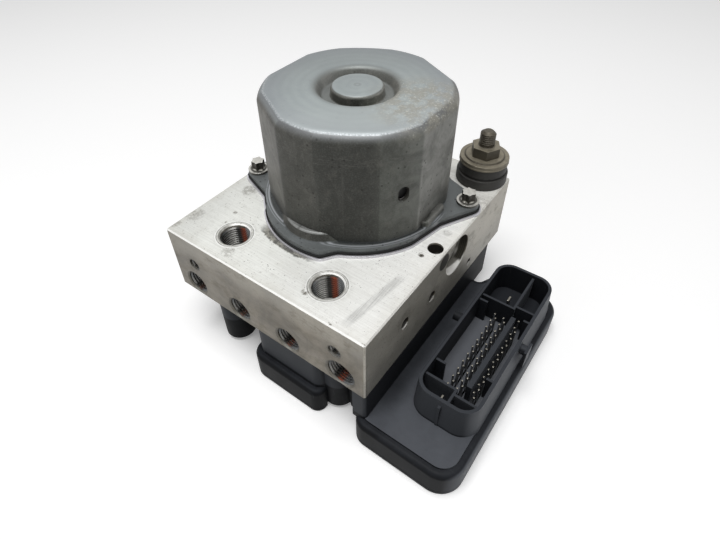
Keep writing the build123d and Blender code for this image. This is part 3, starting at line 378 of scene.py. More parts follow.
# Pump bore: painted highlights on its lower lip and inside it, and painted shade on its back wall
# over the lathe lines.
bore = at(87, motor_y, pump_height)
bore_side = (block_y - bore.y) * 700 + (block_z - bore.z) * 700
bore_depth = (right_x - block_x) * 1000
bore_tone = block.mix(haze, (0.17, 0.165, 0.145), (0.32, 0.31, 0.28))
bore_crescent_highlight = block.step(bore_depth + bore_side * 0.35, 1.7, 0.9)
bore_tone = block.mix(bore_crescent_highlight, bore_tone, (0.98, 0.97, 0.94))
bore_lines = block_x.math("SINE", block_x * 9000) * 0.5 + 0.5
bore_shade = block.mix(bore_lines * 0.4, (0.030, 0.027, 0.020), (0.11, 0.10, 0.08))
bore_back_shade = block.step(bore_side, -0.6, 0.8) * block.step(bore_depth, 3.6, 2.8)
bore_tone = block.mix(bore_back_shade, bore_tone, bore_shade)
bore_dash_highlight = block.near(at(87.3, 66.5, 14.0), 1.9, 0.8)
bore_tone = block.mix(bore_dash_highlight * block.step(bore_depth, 2.8, 3.4), bore_tone, (0.72, 0.71, 0.68))
stained_metal_and_painted_light = block.mix(block.near(bore, 10.5, 0.3) * side_hole, stained_metal_and_painted_light, bore_tone)
# Painted reflection of the black control unit: the right face darkens towards its foot.
low_right_reflection = right_side * block.along("z", 19, 1)
stained_metal_and_painted_light = block.mix(low_right_reflection * 0.36, stained_metal_and_painted_light, (0.07, 0.07, 0.065))
motor_gap = block.around(at(motor_x, motor_y, block_height))
smear_edge = block.cloud((2.0, 2.0, 2.0), detail=4, roughness=0.7, shift=(4, 9, 2))
smear = block.step(motor_gap + smear_edge * 2.4, 43.5, 42.7) * top_side
smear = smear * block.along("x", 27, 32) * block.along("x", 58, 50) * block.along("y", 32, 26)
smear_lines = block.step(smear_edge, 0.40, 0.60)
smear_tone = block.mix(smear_lines, (0.035, 0.033, 0.028), (0.26, 0.25, 0.21))
stained_metal_and_painted_light = block.mix(smear * 0.9, stained_metal_and_painted_light, smear_tone)
lip_patchiness = block.cloud(2.4, detail=4, roughness=0.7, shift=(8, 8, 2))
for x in top_port_x:
    port_gap = block.around(at(x, top_port_y, block_height))
    # Painted shade in each top port's chamfer, patchy.
    lip = block.step(port_gap, 6.5, 6.1) * top_side
    lip = lip * (block.step(lip_patchiness, 0.30, 0.60) * 0.4 + 0.2)
    stained_metal_and_painted_light = block.mix(lip, stained_metal_and_painted_light, (0.20, 0.195, 0.17))
    ring = block.step(block.distance(port_gap, 6.75), 0.28, 0.08)
    ring = ring * (block.step(lip_patchiness, 0.35, 0.60) * 0.5 + 0.25)
    stained_metal_and_painted_light = block.mix(ring * top_side, stained_metal_and_painted_light, (0.13, 0.125, 0.11))
    # A painted highlight on a ring just outside the machined ring.
    ring_highlight = block.step(block.distance(port_gap, 7.15), 0.30, 0.10) * top_side
    stained_metal_and_painted_light = block.mix(ring_highlight * 0.5, stained_metal_and_painted_light, (1.0, 1.0, 0.98))
wheel_port_lips = zip(wheel_port_x, (5.6, 5.6, 5.6, 6.2))
front_holes = [(x, wheel_port_height, reach) for x, reach in wheel_port_lips]
front_holes += [(x, bracket_hole_height, 2.9) for x in bracket_hole_x]
# Painted shade in the mouths of the wheel ports and bracket holes, patchy.
for x, z, reach in front_holes:
    lip = block.near(at(x, 0.1, z), reach, 0.25) * (0.45 + lip_patchiness * 0.4)
    stained_metal_and_painted_light = block.mix(lip, stained_metal_and_painted_light, (0.075, 0.068, 0.052))
# Painted highlight along the broken top edge of the front face.
front_edge_highlight = block.step(face_z, 0.15, 0.45) * block.step(face_z, 0.97, 0.85)
front_edge_highlight = front_edge_highlight * block.step(face_y, -0.2, -0.45) * block.along("z", 27.3, 28.1)
stained_metal_and_painted_light = block.mix(front_edge_highlight * (0.9 - pits * 0.6), stained_metal_and_painted_light, (0.97, 0.965, 0.94))
block.set("Base Color", stained_metal_and_painted_light)
block.set("Metallic", 0.42 - top_side * (block.along("x", 30, 80) * 0.16 + 0.12))
block.set("Roughness", 0.36 + haze * 0.14 + smudge * 0.2 - cutter_lines * 0.08)
scratches = cutter_lines * 0.5 + cross_lines * 0.2 - pits * 1.2 - fine_dirt * 0.25
block.relief(scratches + smear * 1.5, 0.035, 0.6)
dressed("hydraulic_block", block, edge=0.6, angle=25)

# Port threads: cut with a tap into the four wheel ports, the two pipe ports on top and the two
# bracket holes. The cut metal has dulled, and a dried orange film is left on one side. Bands of
# painted highlight and painted shade run across each port, and the flanks are painted darker
# than the crests as painted shade. The ridges are drawn for their look and are no exact
# standard thread.


def thread(name, radius, ridge, pitch, turns, mouth, way, finishes):
    """A screw thread wound into a hole from its mouth, or along a stud if the ridge is negative."""
    steps = 36
    mesh = bmesh.new()
    tip = radius - ridge
    root = radius + (0.03 if ridge > 0 else -0.03)
    corners = [(root, 0.02), (tip, pitch * 0.40), (tip, pitch * 0.60), (root, pitch - 0.02)]
    outline = [mesh.verts.new((r / 1000, 0, z / 1000)) for r, z in corners]
    section = mesh.faces.new(outline)
    bmesh.ops.spin(
        mesh,
        geom=[*mesh.verts, *mesh.edges, section],
        cent=(0, 0, 0),
        axis=(0, 0, 1),
        dvec=(0, 0, pitch / 1000 / steps),
        angle=2 * math.pi * turns,
        steps=steps * turns,
        use_merge=False,
    )
    for face in mesh.faces:
        far = max(abs(math.hypot(v.co.x, v.co.y) * 1000 - tip) for v in face.verts)
        face.material_index = 0 if far < 0.01 else 1
    turn = Vector((0, 0, 1)).rotation_difference(Vector(way)).to_matrix().to_4x4()
    bmesh.ops.transform(mesh, matrix=Matrix.Translation(mouth) @ turn, verts=mesh.verts)
    bmesh.ops.recalc_face_normals(mesh, faces=mesh.faces)
    for face in mesh.faces:
        face.smooth = True
    for edge in mesh.edges:
        edge.smooth = edge.calc_face_angle(0) < math.radians(25)
    piece = placed(mesh, name, finishes[0])
    piece.data.materials.append(finishes[1].material)
    return piece


def tapped(name, centre, radius, across, film=1.0):
    """Crest and flank finishes: painted highlight and shade, and an orange film on one side."""
    finishes = []
    film_tones = zip((0.55, 0.115, 0.045), (0.30, 0.27, 0.22))
    film_tones = [orange * film + plain * (0.5 - 0.5 * film) for orange, plain in film_tones]
    # The flanks are a darker copy of the crests: painted shade in the thread's grooves.
    for part, shaded_level, lit_level in (("crest", 0.24, 1.0), ("flank", 0.02, 0.24)):
        finish = Finish(f"{name}_{part}", Metallic=0.7, Roughness=0.32)
        way = finish.vector("SUBTRACT", finish.where, centre)
        way = finish.vector("DOT_PRODUCT", way, across, output="Value") * (500 / radius) + 0.5
        dull_and_shaded_tone = (0.42 * shaded_level, 0.40 * shaded_level, 0.36 * shaded_level)
        painted_highlight_tone = (0.90 * lit_level, 0.89 * lit_level, 0.85 * lit_level)
        warm = [tint * lit_level for tint in film_tones]
        cool = (0.50 * lit_level, 0.52 * lit_level, 0.53 * lit_level)
        # Bands across the port: a painted highlight, painted shade in the middle and at one end, an
        # orange film and blue-grey between.
        stops = [(0.0, dull_and_shaded_tone), (1.0, cool), (0.08, cool), (0.22, painted_highlight_tone), (0.36, painted_highlight_tone)]
        stops = stops + [(0.48, dull_and_shaded_tone), (0.56, dull_and_shaded_tone), (0.68, warm), (0.74, warm), (0.84, cool)]
        tone = finish.node("ShaderNodeValToRGB", {"stops": stops}, {"Fac": way})
        worn = finish.step(finish.cloud(1.5, detail=4, roughness=0.7), 0.44, 0.70)
        finish.set("Base Color", finish.mix(worn * 0.4, tone, dull_and_shaded_tone))
        finishes.append(finish)
    return finishes


front_shine, port_pitch, port_turns, port_ridge = (0.83, 0, -0.55), 1.0, 11, 0.45
for place, (x, film) in enumerate(zip(wheel_port_x, (0.25, 0.3, 0.45, 0.9)), 1):
    radius = large_port_radius if x == wheel_port_x[-1] else small_port_radius
    finishes = tapped(
        f"wheel_port_{place}", at(x, 5, wheel_port_height), radius, front_shine, film
    )
    mouth = at(x, 0.55, wheel_port_height)
    name = f"wheel_port_thread_{place}"
    thread(name, radius, port_ridge, port_pitch, port_turns, mouth, (0, 1, 0), finishes)
for place, x in enumerate(top_port_x, 1):
    centre = at(x, top_port_y, 20)
    finishes = tapped(f"pipe_port_{place}", centre, large_port_radius, (0.79, 0.61, 0))
    mouth = at(x, top_port_y, 28.45)
    name = f"pipe_port_thread_{place}"
    thread(
        name, large_port_radius, port_ridge, port_pitch, port_turns, mouth, (0, 0, -1), finishes
    )
for place, x in enumerate(bracket_hole_x, 1):
    centre = at(x, 5, bracket_hole_height)
    finishes = tapped(f"bracket_hole_{place}", centre, bracket_hole_radius, front_shine, 0.0)
    mouth = at(x, 0.5, bracket_hole_height)
    name = f"bracket_thread_{place}"
    thread(name, bracket_hole_radius, 0.3, 0.8, port_turns, mouth, (0, 1, 0), finishes)

# Plugs: small metal slugs pressed and staked into the ends of the drilled passages, and two turned
# discs that close the pump bores. The discs are brighter than the slugs and show their lathe lines.
plug_metal = Finish("pressed_plug", Metallic=0.8, Roughness=0.3)
plug_tone = plug_metal.mix(plug_metal.cloud(1.5), (0.10, 0.098, 0.088), (0.26, 0.255, 0.235))
for y, z in side_passages[:2]:
    # Painted highlight on each plug's dome.
    plug_highlight = plug_metal.near(at(88.4, y - 0.55, z - 0.75), 1.25, 0.35)
    plug_tone = plug_metal.mix(plug_highlight, plug_tone, (0.95, 0.94, 0.90))
plug_metal.set("Base Color", plug_tone)
dressed("gallery_plugs", plug_metal, edge=0.5)
turned_plug = Finish("turned_plug", Metallic=0.35, Roughness=0.34)
turned_lines = turned_plug.cloud((3.0, 0.5, 0.5), detail=3)
turned_plug.set("Base Color", turned_plug.mix(turned_lines, (0.60, 0.59, 0.55), (0.92, 0.91, 0.88)))
dressed("right_pump_plug", turned_plug, edge=0.5)
dressed("left_pump_plug", turned_plug, edge=0.5)

# Motor can: deep-drawn from zinc-plated sheet, with six sides, a recess pressed round a centre
# button, and a flange on a shim plate and seal, bolted to the block. The plating has gone cloudy,
# with grey blooms and small dark spots. Its colour also holds painted light: the top is painted
# lighter than the sides, each side has a painted shade of its own, painted shade lies in the
# recess, on the button's side, at the rim and at the foot, and painted highlights lie on the
# bead, the step, two creases and a small hole in the wall.
can = Finish("zinc_plated_sheet", Metallic=0.55)
can_x, can_y, can_z = can.place
can_side_x, can_side_y, can_up = can.facing
can_top = can.step(can_up, 0.30, 0.90) * can.along("z", 60, 66)
foot_side = can.along("z", 33.6, 32.9)
# Painted light and shade: each side of the can is given its own tone by the way it faces.
side_angle = can_side_y.math("ARCTAN2", can_side_y, can_side_x) * (0.5 / math.pi) + 0.5
facing_shade_tone = can.node(
    "ShaderNodeValToRGB",
    {
        "stops": [
            (0.0, (0.120, 0.118, 0.108)),
            (1.0, (0.120, 0.118, 0.108)),
            (0.100, (0.180, 0.172, 0.152)),
            (0.150, (0.180, 0.172, 0.152)),
            (0.183, (0.090, 0.088, 0.077)),
            (0.290, (0.072, 0.072, 0.063)),
            (0.312, (0.045, 0.046, 0.040)),
            (0.352, (0.045, 0.046, 0.040)),
            (0.372, (0.100, 0.105, 0.092)),
            (0.455, (0.180, 0.186, 0.168)),
            (0.480, (0.270, 0.271, 0.252)),
            (0.560, (0.280, 0.281, 0.262)),
        ]
    },
    {"Fac": side_angle},
)
clouding = can.cloud(8.0, detail=6, roughness=0.68, twist=0.5)
spangle = can.cloud(0.5, detail=3, roughness=0.75)
drips = can.cloud((2.6, 2.6, 30.0), detail=4, roughness=0.6)
spot_field = can.step(can.cloud(9.0, detail=3, shift=(4, 4, 4)), 0.42, 0.58)
spots = can.step(can.pits(2.3), 0.215, 0.10) * spot_field * (1 - can_top * 0.92)
wall = can.mix(can.step(clouding, 0.32, 0.70) * 0.55, facing_shade_tone, (0.028, 0.028, 0.024))
pale_cloud = can.step(can.cloud(5.5, detail=6, roughness=0.72, shift=(3, 8, 5)), 0.52, 0.72)
wall = can.mix(pale_cloud * 0.20, wall, (0.22, 0.21, 0.185))
wall = can.mix(can.step(drips, 0.55, 0.80) * 0.20, wall, (0.19, 0.185, 0.17))
# Painted shade: the wall darkens towards its foot at the flange.
wall = can.mix(can.along("z", 48, 33) * 0.45, wall, (0.022, 0.022, 0.019))
scuff_gap = can.distance(can_z, at(0, 0, 65.5).z) * 1000
scuffs = can.cloud((5.0, 5.0, 0.6), detail=4, roughness=0.7, shift=(7, 3, 1))
scuffs = can.step(scuffs, 0.52, 0.66) * can.step(scuff_gap + clouding * 3, 4.5, 2.5)
wall = can.mix(scuffs * 0.32, wall, (0.16, 0.155, 0.14))
can_middle = at(motor_x, motor_y, 74.3)
from_axis = can.around(can_middle)
rings = from_axis.math("SINE", from_axis * 1.9 + clouding * 5.0) * 0.5 + 0.5
crown = can.mix(clouding, (0.235, 0.265, 0.268), (0.36, 0.395, 0.395))
crown = can.mix(rings * 0.16, crown, (0.19, 0.215, 0.225))
crown = can.mix(can.step(from_axis, 22.0, 31.0) * 0.45, crown, (0.19, 0.20, 0.225))
# Painted light across the top: darker towards the back left, lighter towards the front right.
across_crown = (can_x - can_middle.x - can_y + can_middle.y) * 1000
crown = can.mix(can.step(across_crown, 10.0, -34.0) * 0.42, crown, (0.15, 0.165, 0.165))
crown = can.mix(can.step(across_crown, 4.0, 36.0) * 0.45, crown, (0.44, 0.475, 0.475))
can_rim = can.step(can_up, 0.97, 0.80) * can.step(from_axis, 26.0, 29.0)
rim_shade = can_rim * can.step(can_side_x, -0.55, -0.05, 0.15, 0.88)
crown = can.mix(rim_shade, crown, (0.105, 0.107, 0.11))
glint = can.step(can.distance(can_up, 0.90), 0.07, 0.02) * can.step(spangle, 0.42, 0.62)
glint = glint * can.step(from_axis, 27.0, 29.0)
crown = can.mix(glint * can.step(can_side_y, 0.1, -0.1) * 0.45, crown, (0.62, 0.65, 0.67))
# Painted shade on the button's side.
button_side_shade = can.step(from_axis, 7.6, 8.6) * can.step(from_axis, 9.7, 9.3)
button_side_shade = button_side_shade * can.step(can_up, 0.97, 0.8)
crown = can.mix(button_side_shade * 0.80, crown, (0.075, 0.073, 0.063))
button_ring = can.step(can.distance(from_axis, 0.9), 0.8, 0.1)
crown = can.mix(button_ring * 0.30, crown, (0.11, 0.115, 0.115))
# Painted shade in the pressed recess round the button.
recess_shade = can.step(from_axis, 16.8, 13.6) * can.step(from_axis, 8.4, 9.6)
crown = can.mix(recess_shade * 0.70, crown, (0.105, 0.105, 0.095))
# Painted light: the top is painted lighter than the sides.
plating_and_painted_light = can.mix(can_top, wall, crown)
foot_tone = can.mix(clouding, (0.085, 0.094, 0.094), (0.19, 0.205, 0.21))
plating_and_painted_light = can.mix(foot_side * 0.90, plating_and_painted_light, foot_tone)
bead_front = foot_side * can.along("y", 64.6, 58.6)
bead_shade = can.step(from_axis, 34.5, 34.1) * bead_front
plating_and_painted_light = can.mix(bead_shade * 0.65, plating_and_painted_light, (0.025, 0.026, 0.025))
# Painted highlights along the top of the pressed bead at the foot.
bead_highlight = can.step(can.distance(from_axis, 34.85), 0.40, 0.10) * bead_front
plating_and_painted_light = can.mix(bead_highlight * 0.55, plating_and_painted_light, (0.55, 0.57, 0.60))
bead_highlight = can.step(can.distance(from_axis, 35.75), 0.35, 0.05) * bead_front
plating_and_painted_light = can.mix(bead_highlight * 0.35, plating_and_painted_light, (0.48, 0.50, 0.53))
# Painted highlight along the upper lip of the pressed step.
step_gap = can.distance(can_z, at(0, 0, 36.0).z) * 1000
step_lip_highlight = can.step(step_gap, 0.55, 0.25) * can.step(can_up, 0.15, 0.45)
step_lip_highlight = step_lip_highlight * can.step(from_axis, 33.4, 33.9) * can.along("y", 38.6, 32.6)
plating_and_painted_light = can.mix(step_lip_highlight * can.step(clouding, 0.36, 0.54) * 0.75, plating_and_painted_light, (0.27, 0.275, 0.27))
plating_and_painted_light = can.mix(can.step(spangle, 0.45, 0.72) * 0.09, plating_and_painted_light, (0.42, 0.43, 0.42))
bloom_place = can.near(at(70, 60, 74), 15.0, 8.0) * can.along("z", 69, 72)
old_bloom = can.cloud(5.0, detail=5, roughness=0.7, shift=(2, 2, 6))
old_bloom = can.step(old_bloom, 0.38, 0.60) * bloom_place
plating_and_painted_light = can.mix(old_bloom * 0.65, plating_and_painted_light, (0.27, 0.255, 0.21))
bloom = can.cloud(0.9, detail=5, roughness=0.8, shift=(1, 6, 2))
bloom = can.step(bloom, 0.53, 0.66) * bloom_place
plating_and_painted_light = can.mix(bloom * 0.65, plating_and_painted_light, (0.66, 0.66, 0.60))
way_x, way_y = can_x - can_middle.x, can_y - can_middle.y
crease_angle = way_y.math("ARCTAN2", way_y, way_x) * (180 / math.pi)
# Painted highlights along two creases between the sides, broken up by the drip noise.
for crease, depth, crease_highlight_tone in (
    (-17.4, 0.75, (0.40, 0.40, 0.38)),
    (-77.0, 0.30, (0.14, 0.14, 0.13)),
):
    crease_highlight = can.step(can.distance(crease_angle, crease), 1.4, 0.2) * can.step(drips, 0.35, 0.65)
    crease_highlight = crease_highlight * can.along("z", 62, 52) * can.along("z", 33.5, 36)
    plating_and_painted_light = can.mix(crease_highlight * depth, plating_and_painted_light, crease_highlight_tone)
plating_and_painted_light = can.mix(spots * 0.75, plating_and_painted_light, (0.018, 0.016, 0.014))
# Painted highlight inside the small hole in the wall.
lip = can.near(at(74.1, 42.7, 48.6), 1.5, 0.2) * can.step(from_axis, 32.8, 32.5)
plating_and_painted_light = can.mix(lip * 0.9, plating_and_painted_light, (0.85, 0.84, 0.80))
can.set("Base Color", plating_and_painted_light)
can.set("Roughness", 0.44 + clouding * 0.14 + bloom * 0.2)
can.relief(spangle * 0.25 + clouding * 0.7 - spots * 0.8 + bloom * 0.4 + scuffs * 0.4, 0.05, 0.55)
dressed("motor_can", can, angle=24)


def mottled(name, size, dark, pale, detail=4.0, **fixed):
    """A finish of one material, clouded between two colours."""
    finish = Finish(name, **fixed)
    finish.set("Base Color", finish.mix(finish.cloud(size, detail=detail), dark, pale))
    return finish


plate_tones = (0.42, 0.415, 0.44), (0.70, 0.69, 0.73)
plate = mottled("end_plate_steel", 5.0, *plate_tones, detail=5, Metallic=0.75, Roughness=0.38)
dressed("motor_end_plate", plate, edge=0.12)
seal_rubber = Finish("moulded_seal", Roughness=0.7)
seal_rubber.set("Specular IOR Level", 0.1)
seal_tone = seal_rubber.mix(seal_rubber.cloud(3.0), (0.004, 0.004, 0.004), (0.012, 0.012, 0.011))
seal_lip = seal_rubber.along("z", 30.25, 30.5)
seal_rubber.set("Base Color", seal_rubber.mix(seal_lip * 0.25, seal_tone, (0.060, 0.062, 0.062)))
dressed("motor_seal", seal_rubber, edge=0.15)
bolt = Finish("plated_bolt", Metallic=0.75)
bolt_cloud = bolt.cloud(1.2, detail=4)
_, _, bolt_up = bolt.facing
bolt_tone = bolt.mix(bolt_cloud, (0.30, 0.29, 0.26), (0.74, 0.73, 0.69))
# Painted shade on the sides of the bolt heads.
bolt_side_shade = bolt.step(bolt_up, 0.55, 0.25) * bolt.along("z", 33.8, 34.4)
bolt_tone = bolt.mix(bolt_side_shade * 0.95, bolt_tone, (0.020, 0.017, 0.013))
# Painted shade under the rims of the heads.
under_rim_shade = bolt.step(bolt_up, 0.45, 0.15) * bolt.along("z", 33.9, 33.3)
bolt_tone = bolt.mix(under_rim_shade * 0.85, bolt_tone, (0.035, 0.033, 0.028))
for x, y in ((84.7, 73.5), (6.1, 43.7)):
    # Painted shade in a ring where each head meets its flange.
    bolt_gap = bolt.around(at(x, y, 34))
    head_foot_shade = bolt.step(bolt.distance(bolt_gap, 2.95), 0.55, 0.30) * bolt.along("z", 35.2, 34.7)
    bolt_tone = bolt.mix(head_foot_shade * 0.85, bolt_tone, (0.035, 0.032, 0.026))
bolt.set("Base Color", bolt_tone)
bolt.set("Roughness", 0.28 + bolt_cloud * 0.2)
dressed("motor_bolts", bolt, edge=0.15)

# Rubber mount: a stepped bush pressed on a stud, held by a band, a dished washer and a nut. The
# plating on the steel has worn to a dull brown grey.
mount_x, mount_y = 79.9, 95.3
rubber_tones = (0.013, 0.013, 0.012), (0.035, 0.033, 0.029)
rubber = mottled("bush_rubber", 2.5, *rubber_tones, detail=5, Roughness=0.62)
dressed("rubber_bush", rubber, edge=0.35)
dull_steel = Finish("dull_steel", Metallic=0.6)
rust = dull_steel.cloud(2.2, detail=5, roughness=0.65)
_, _, dull_up = dull_steel.facing
aged_and_shaded_steel = dull_steel.mix(rust, (0.095, 0.083, 0.060), (0.31, 0.28, 0.215))
mount_gap = dull_steel.around(at(mount_x, mount_y, 40))
# Painted shade on the nut's flats.
nut_side_shade = dull_steel.step(dull_up, 0.6, 0.3) * dull_steel.step(mount_gap, 7.2, 6.8)
aged_and_shaded_steel = dull_steel.mix(nut_side_shade * 0.72, aged_and_shaded_steel, (0.040, 0.036, 0.028))
# Painted shade in a ring at the washer's step round the stud.
stud_ring_shade = dull_steel.step(dull_steel.distance(mount_gap, 7.55), 0.55, 0.15)
aged_and_shaded_steel = dull_steel.mix(stud_ring_shade * 0.65, aged_and_shaded_steel, (0.035, 0.031, 0.024))
dull_steel.set("Base Color", aged_and_shaded_steel)
dull_steel.set("Roughness", 0.42 + rust * 0.25)
dull_steel.relief(rust, 0.05, 0.5)
for node in ("bush_band", "mount_washer", "mount_nut"):
    dressed(node, dull_steel, edge=0.2)
stud_tones = (0.030, 0.026, 0.019), (0.135, 0.12, 0.092)
stud_steel = mottled("browned_stud", 1.5, *stud_tones, detail=5, Metallic=0.55, Roughness=0.5)
dressed("mount_stud", stud_steel, edge=0.3)
stud_foot = at(mount_x, mount_y, 44.5)
stud_finishes = (stud_steel, stud_steel)
thread("stud_thread", 2.75, -0.25, 0.8, 6, stud_foot, (0, 0, 1), stud_finishes)

# Control unit: a tray, skirt and connector shroud moulded in one in black glass-filled plastic,
# with a welded lid below. It is matt and a little dusty. Painted light lifts the socket's floor,
# the shroud's front and right side and its rim, and painted shade darkens the box front, the
# tray's sides, the back pocket and the deck beside the block.
plastic = Finish("glass_filled_plastic", IOR=1.45)
plastic.set("Specular IOR Level", 0.09)
plastic_right, plastic_back, plastic_up = plastic.facing
dust = plastic.cloud(14.0, detail=6, roughness=0.66)
grain = plastic.cloud(0.45, detail=3, roughness=0.7)
scuffs = plastic.step(plastic.cloud((9.0, 0.5, 6.0), detail=3), 0.60, 0.74)
black = plastic.mix(dust, (0.006, 0.0066, 0.008), (0.018, 0.0195, 0.023))
dusty_top = plastic.step(plastic_up, 0.5, 0.95) * plastic.step(dust, 0.25, 0.70)
black = plastic.mix(dusty_top * 0.20, black, (0.052, 0.057, 0.067))
shelf = plastic.step(plastic_up, 0.6, 0.95) * plastic.along("z", -13.9, -13.6)
shelf = shelf * plastic.along("z", -10.9, -11.4)
# Painted shadow of the block: the deck's dusty tone is held back beside it.
block_shadow = plastic.along("x", 99, 92) * plastic.along("y", 4, 14)
shelf = shelf * (1 - block_shadow * 0.75)
black = plastic.mix(shelf * (0.40 + dust * 0.6), black, (0.102, 0.109, 0.124))
shroud_floor = shelf * plastic.along("z", -13.0, -12.6)
# Painted light on the socket's floor, which lies in shade.
socket_floor_light = shroud_floor * plastic.along("y", 66, 62)
black = plastic.mix(socket_floor_light * 0.45, black, (0.125, 0.130, 0.142))
# Painted shade on the floor of the back pocket.
pocket_shade = shroud_floor * plastic.along("y", 64, 66)
black = plastic.mix(pocket_shade * 0.85, black, (0.008, 0.009, 0.011))
# Painted shade on the front faces of the box under the block.
front_box_shade = plastic.step(plastic_back, -0.3, -0.7) * plastic.along("x", 98, 95)
black = plastic.mix(front_box_shade * 0.75, black, (0.003, 0.0033, 0.004))
# Painted shade on the tray's sides.
tray_side_shade = plastic.step(plastic_up, 0.9, 0.4) * plastic.along("z", -14.6, -16.0)
black = plastic.mix(tray_side_shade * 0.70, black, (0.003, 0.0033, 0.004))
# Painted light on the front faces of the shroud's nose.
shroud_front_light = plastic.step(plastic_back, -0.2, -0.7) * plastic.along("y", 26, 20)
shroud_front_light = shroud_front_light * plastic.along("z", -13.2, -12.0)
black = plastic.mix(shroud_front_light * 0.8, black, (0.064, 0.069, 0.078))
# Painted light on the right-facing walls of the shroud.
lit_right_side = plastic.step(plastic_right, 0.5, 0.95) * plastic.along("x", 112, 114)
black = plastic.mix(lit_right_side * 0.9, black, (0.155, 0.165, 0.184))
rib_top = plastic.step(plastic_up, 0.6, 0.95) * plastic.along("z", -9.0, -8.6)
rib_top = rib_top * plastic.along("x", 99, 100)
black = plastic.mix(rib_top * 0.5, black, (0.060, 0.065, 0.075))
# Painted highlight along the shroud's rim.
rim_highlight = plastic.along("z", 1.6, 1.9) * plastic.step(plastic_up, 0.3, 0.9)
black = plastic.mix(rim_highlight * 0.8, black, (0.085, 0.090, 0.102))
black = plastic.mix(scuffs * 0.25, black, (0.05, 0.053, 0.058))
plastic.set("Base Color", black)
plastic.set("Roughness", 0.40 + dust * 0.2)
plastic.relief(grain, 0.03, 0.35)
dressed("ecu_housing", plastic, edge=0.25)
dressed("ecu_cover", plastic, edge=0.35)

# Contacts: rows of square pins and two blades, stamped in a copper alloy and tin plated. They are
# pressed through the control unit's floor and stand in the connector.
tinned = Finish("tinned_contact", Metallic=0.9, Roughness=0.28)
_, _, tin_up = tinned.facing
tin = tinned.mix(tinned.cloud(1.0), (0.12, 0.112, 0.092), (0.30, 0.285, 0.25))
tinned.set("Base Color", tinned.mix(tinned.step(tin_up, 0.15, 0.6), (0.24, 0.24, 0.24), tin))
dressed("signal_pins", tinned, edge=0.12)
dressed("power_blades", tinned, edge=0.15)

# Inside pieces: the motor's magnets, laminated rotor, copper windings and carbon brushes, the
# pumps, valves and coils, and the circuit board. They are fitted inside the block, can and control
# unit and don't show, so each keeps its CAD mesh in a plain material.
by_slot = {
    "block": plug_metal,
    "can": can,
    "plate": plate,
    "bolt": bolt,
    "rubber": rubber,
    "seal": seal_rubber,
    "plastic": plastic,
    "contact": tinned,
}
wire, laminations = (0.6, 0.6, 6.0), (20.0, 20.0, 0.4)
for slot, name, size, dark, pale, metallic, roughness in (
    ("ground_steel", "ground_steel", 3.0, (0.42, 0.42, 0.42), (0.58, 0.58, 0.57), 0.85, 0.3),
    ("copper", "enamelled_copper", wire, (0.38, 0.13, 0.05), (0.55, 0.22, 0.09), 0.7, 0.35),
    ("core", "laminated_iron", laminations, (0.12, 0.12, 0.125), (0.26, 0.26, 0.26), 0.7, 0.45),
    ("carbon", "pressed_carbon", 0.8, (0.012, 0.012, 0.013), (0.04, 0.04, 0.042), 0.1, 0.55),
    ("magnet", "ferrite", 1.2, (0.03, 0.03, 0.032), (0.06, 0.058, 0.056), 0.0, 0.5),
    ("insulator", "insulator_plastic", 5.0, (0.16, 0.14, 0.11), (0.22, 0.20, 0.16), 0.0, 0.45),
    ("board", "board_resin", 4.0, (0.01, 0.07, 0.03), (0.02, 0.11, 0.05), 0.0, 0.4),
    ("brass_plated", "plated_brass", 2.0, (0.50, 0.40, 0.20), (0.66, 0.55, 0.32), 0.85, 0.3),
    ("spring_steel", "spring_wire", 1.0, (0.28, 0.27, 0.25), (0.44, 0.43, 0.41), 0.85, 0.3),
):
    by_slot[slot] = mottled(name, size, dark, pale, Metallic=metallic, Roughness=roughness)
for node, piece in frame["nodes"].items():
    piece.data.materials.clear()
    piece.data.materials.append(by_slot[slots[node]].material)

# Pump and accumulator springs: coils wound from steel wire. Each stands on a fixed seat in the
# block. Seats are in metres, and strokes in millimetres.
pump_stroke, accumulator_travel = 2.2, 6.0
for node, joint, way, seat, travel in (
    ("left_pump_spring", "left_pump_stroke", (1, 0, 0), (-0.052, 0.00725, 0.0439), pump_stroke),
    ("right_pump_spring", "right_pump_stroke", (1, 0, 0), (0.0172, 0.00725, 0.0439), pump_stroke),
    (
        "left_accumulator_spring",
        "left_accumulator_travel",
        (0, 0, 1),
        (0, 0, 0.0285),
        accumulator_travel,
    ),
    (
        "right_accumulator_spring",
        "right_accumulator_travel",
        (0, 0, 1),
        (0, 0, 0.0285),
        accumulator_travel,
    ),
):
    coil = dressed(node, by_slot["spring_steel"])
    reach = max(abs((vertex.co - Vector(seat)).dot(Vector(way))) for vertex in coil.data.vertices)
    1 - travel / 1000 / reach
    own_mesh(coil)

# Studio: the module lies on a sheet of pale paper in front of a white surround. One large soft lamp
# hangs overhead and a weak one stands in front. Paper and surround look white to the camera and in
# reflections, but light the module only a little.


def seen_rays(rays):
    """One for the camera's rays, straight, mirrored or through glass, and zero for all others."""
    seen = Shade(rays["Is Camera Ray"])
    for kind in ("Is Glossy Ray", "Is Transmission Ray"):
        seen = seen.math("MAXIMUM", seen, Shade(rays[kind]))
    return seen


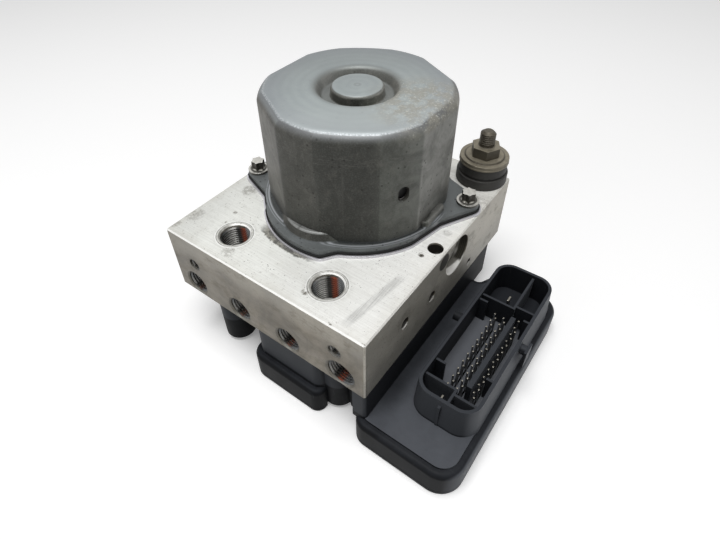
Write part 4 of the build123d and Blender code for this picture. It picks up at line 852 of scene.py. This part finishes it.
floor_mesh = bmesh.new()
bmesh.ops.create_grid(floor_mesh, x_segments=1, y_segments=1, size=3.0)
floor_data = bpy.data.meshes.new("studio_floor")
bmesh.ops.translate(floor_mesh, vec=(0, 0, -0.0002), verts=floor_mesh.verts)
floor_mesh.to_mesh(floor_data)
floor_mesh.free()
floor = bpy.data.objects.new("studio_floor", floor_data)
bpy.context.scene.collection.objects.link(floor)
floor_paint = Finish("studio_paper", Roughness=0.9)
shown = seen_rays(floor_paint.node("ShaderNodeLightPath").socket.node.outputs)
floor_paint.set("Base Color", floor_paint.mix(shown, (0.20, 0.20, 0.20), (0.93, 0.93, 0.93)))
floor_paint.set("Emission Color", floor_paint.mix(shown, (0.0, 0.0, 0.0), (0.20, 0.20, 0.20)))
floor_paint.set("Emission Strength", 1.0)
floor_paint.set("Specular IOR Level", 0.0)
floor_data.materials.append(floor_paint.material)

world = bpy.data.worlds.new("studio_surround")
bpy.context.scene.world = world
world.use_nodes = True
room = world.node_tree
room.nodes.clear()
both = room.nodes.new("ShaderNodeMixShader")
shown = seen_rays(room.nodes.new("ShaderNodeLightPath").outputs)
room.links.new(shown.socket, both.inputs[0])
for place, strength in ((1, 0.16), (2, 1.0)):
    glow = room.nodes.new("ShaderNodeBackground")
    glow.inputs["Color"].default_value = (1, 1, 1, 1)
    glow.inputs["Strength"].default_value = strength
    room.links.new(glow.outputs[0], both.inputs[place])
sky = room.nodes.new("ShaderNodeOutputWorld")
room.links.new(both.outputs[0], sky.inputs["Surface"])


def lamp(name, place, aim, size, power):
    """A square soft lamp."""
    data = bpy.data.lights.new(name, "AREA")
    data.shape = "SQUARE"
    data.size = size
    data.energy = power
    fitting = bpy.data.objects.new(name, data)
    bpy.context.scene.collection.objects.link(fitting)
    way = Vector(aim) - Vector(place)
    turn = way.to_track_quat("-Z", "Y").to_matrix().to_4x4()
    fitting.matrix_world = Matrix.Translation(place) @ turn


lamp("overhead_lamp", (0.02, -0.15, 0.95), (0, 0, 0.04), 0.5, 7.2)
lamp("front_lamp", (-0.25, -0.95, 0.5), (0, 0, 0.04), 0.6, 1.3)

camera_data = bpy.data.cameras.new("photo_camera")
camera_data.lens = 25.75
camera_data.sensor_width = 36.0
camera_data.shift_x = 0.01435
camera_data.shift_y = -0.0434
camera_data.clip_start = 0.01
camera = bpy.data.objects.new("photo_camera", camera_data)
bpy.context.scene.collection.objects.link(camera)
forward = Vector((-0.4515, 0.5812, -0.6770)).normalized()
upward = Vector((-0.3917, 0.5526, 0.7357)).normalized()
sideways = forward.cross(upward).normalized()
upward = sideways.cross(forward)
turn = Matrix((sideways, upward, -forward)).transposed().to_4x4()
camera.matrix_world = Matrix.Translation((0.07871, -0.12321, 0.17966)) @ turn
bpy.context.scene.camera = camera
bpy.context.scene.view_settings.view_transform = "Standard"
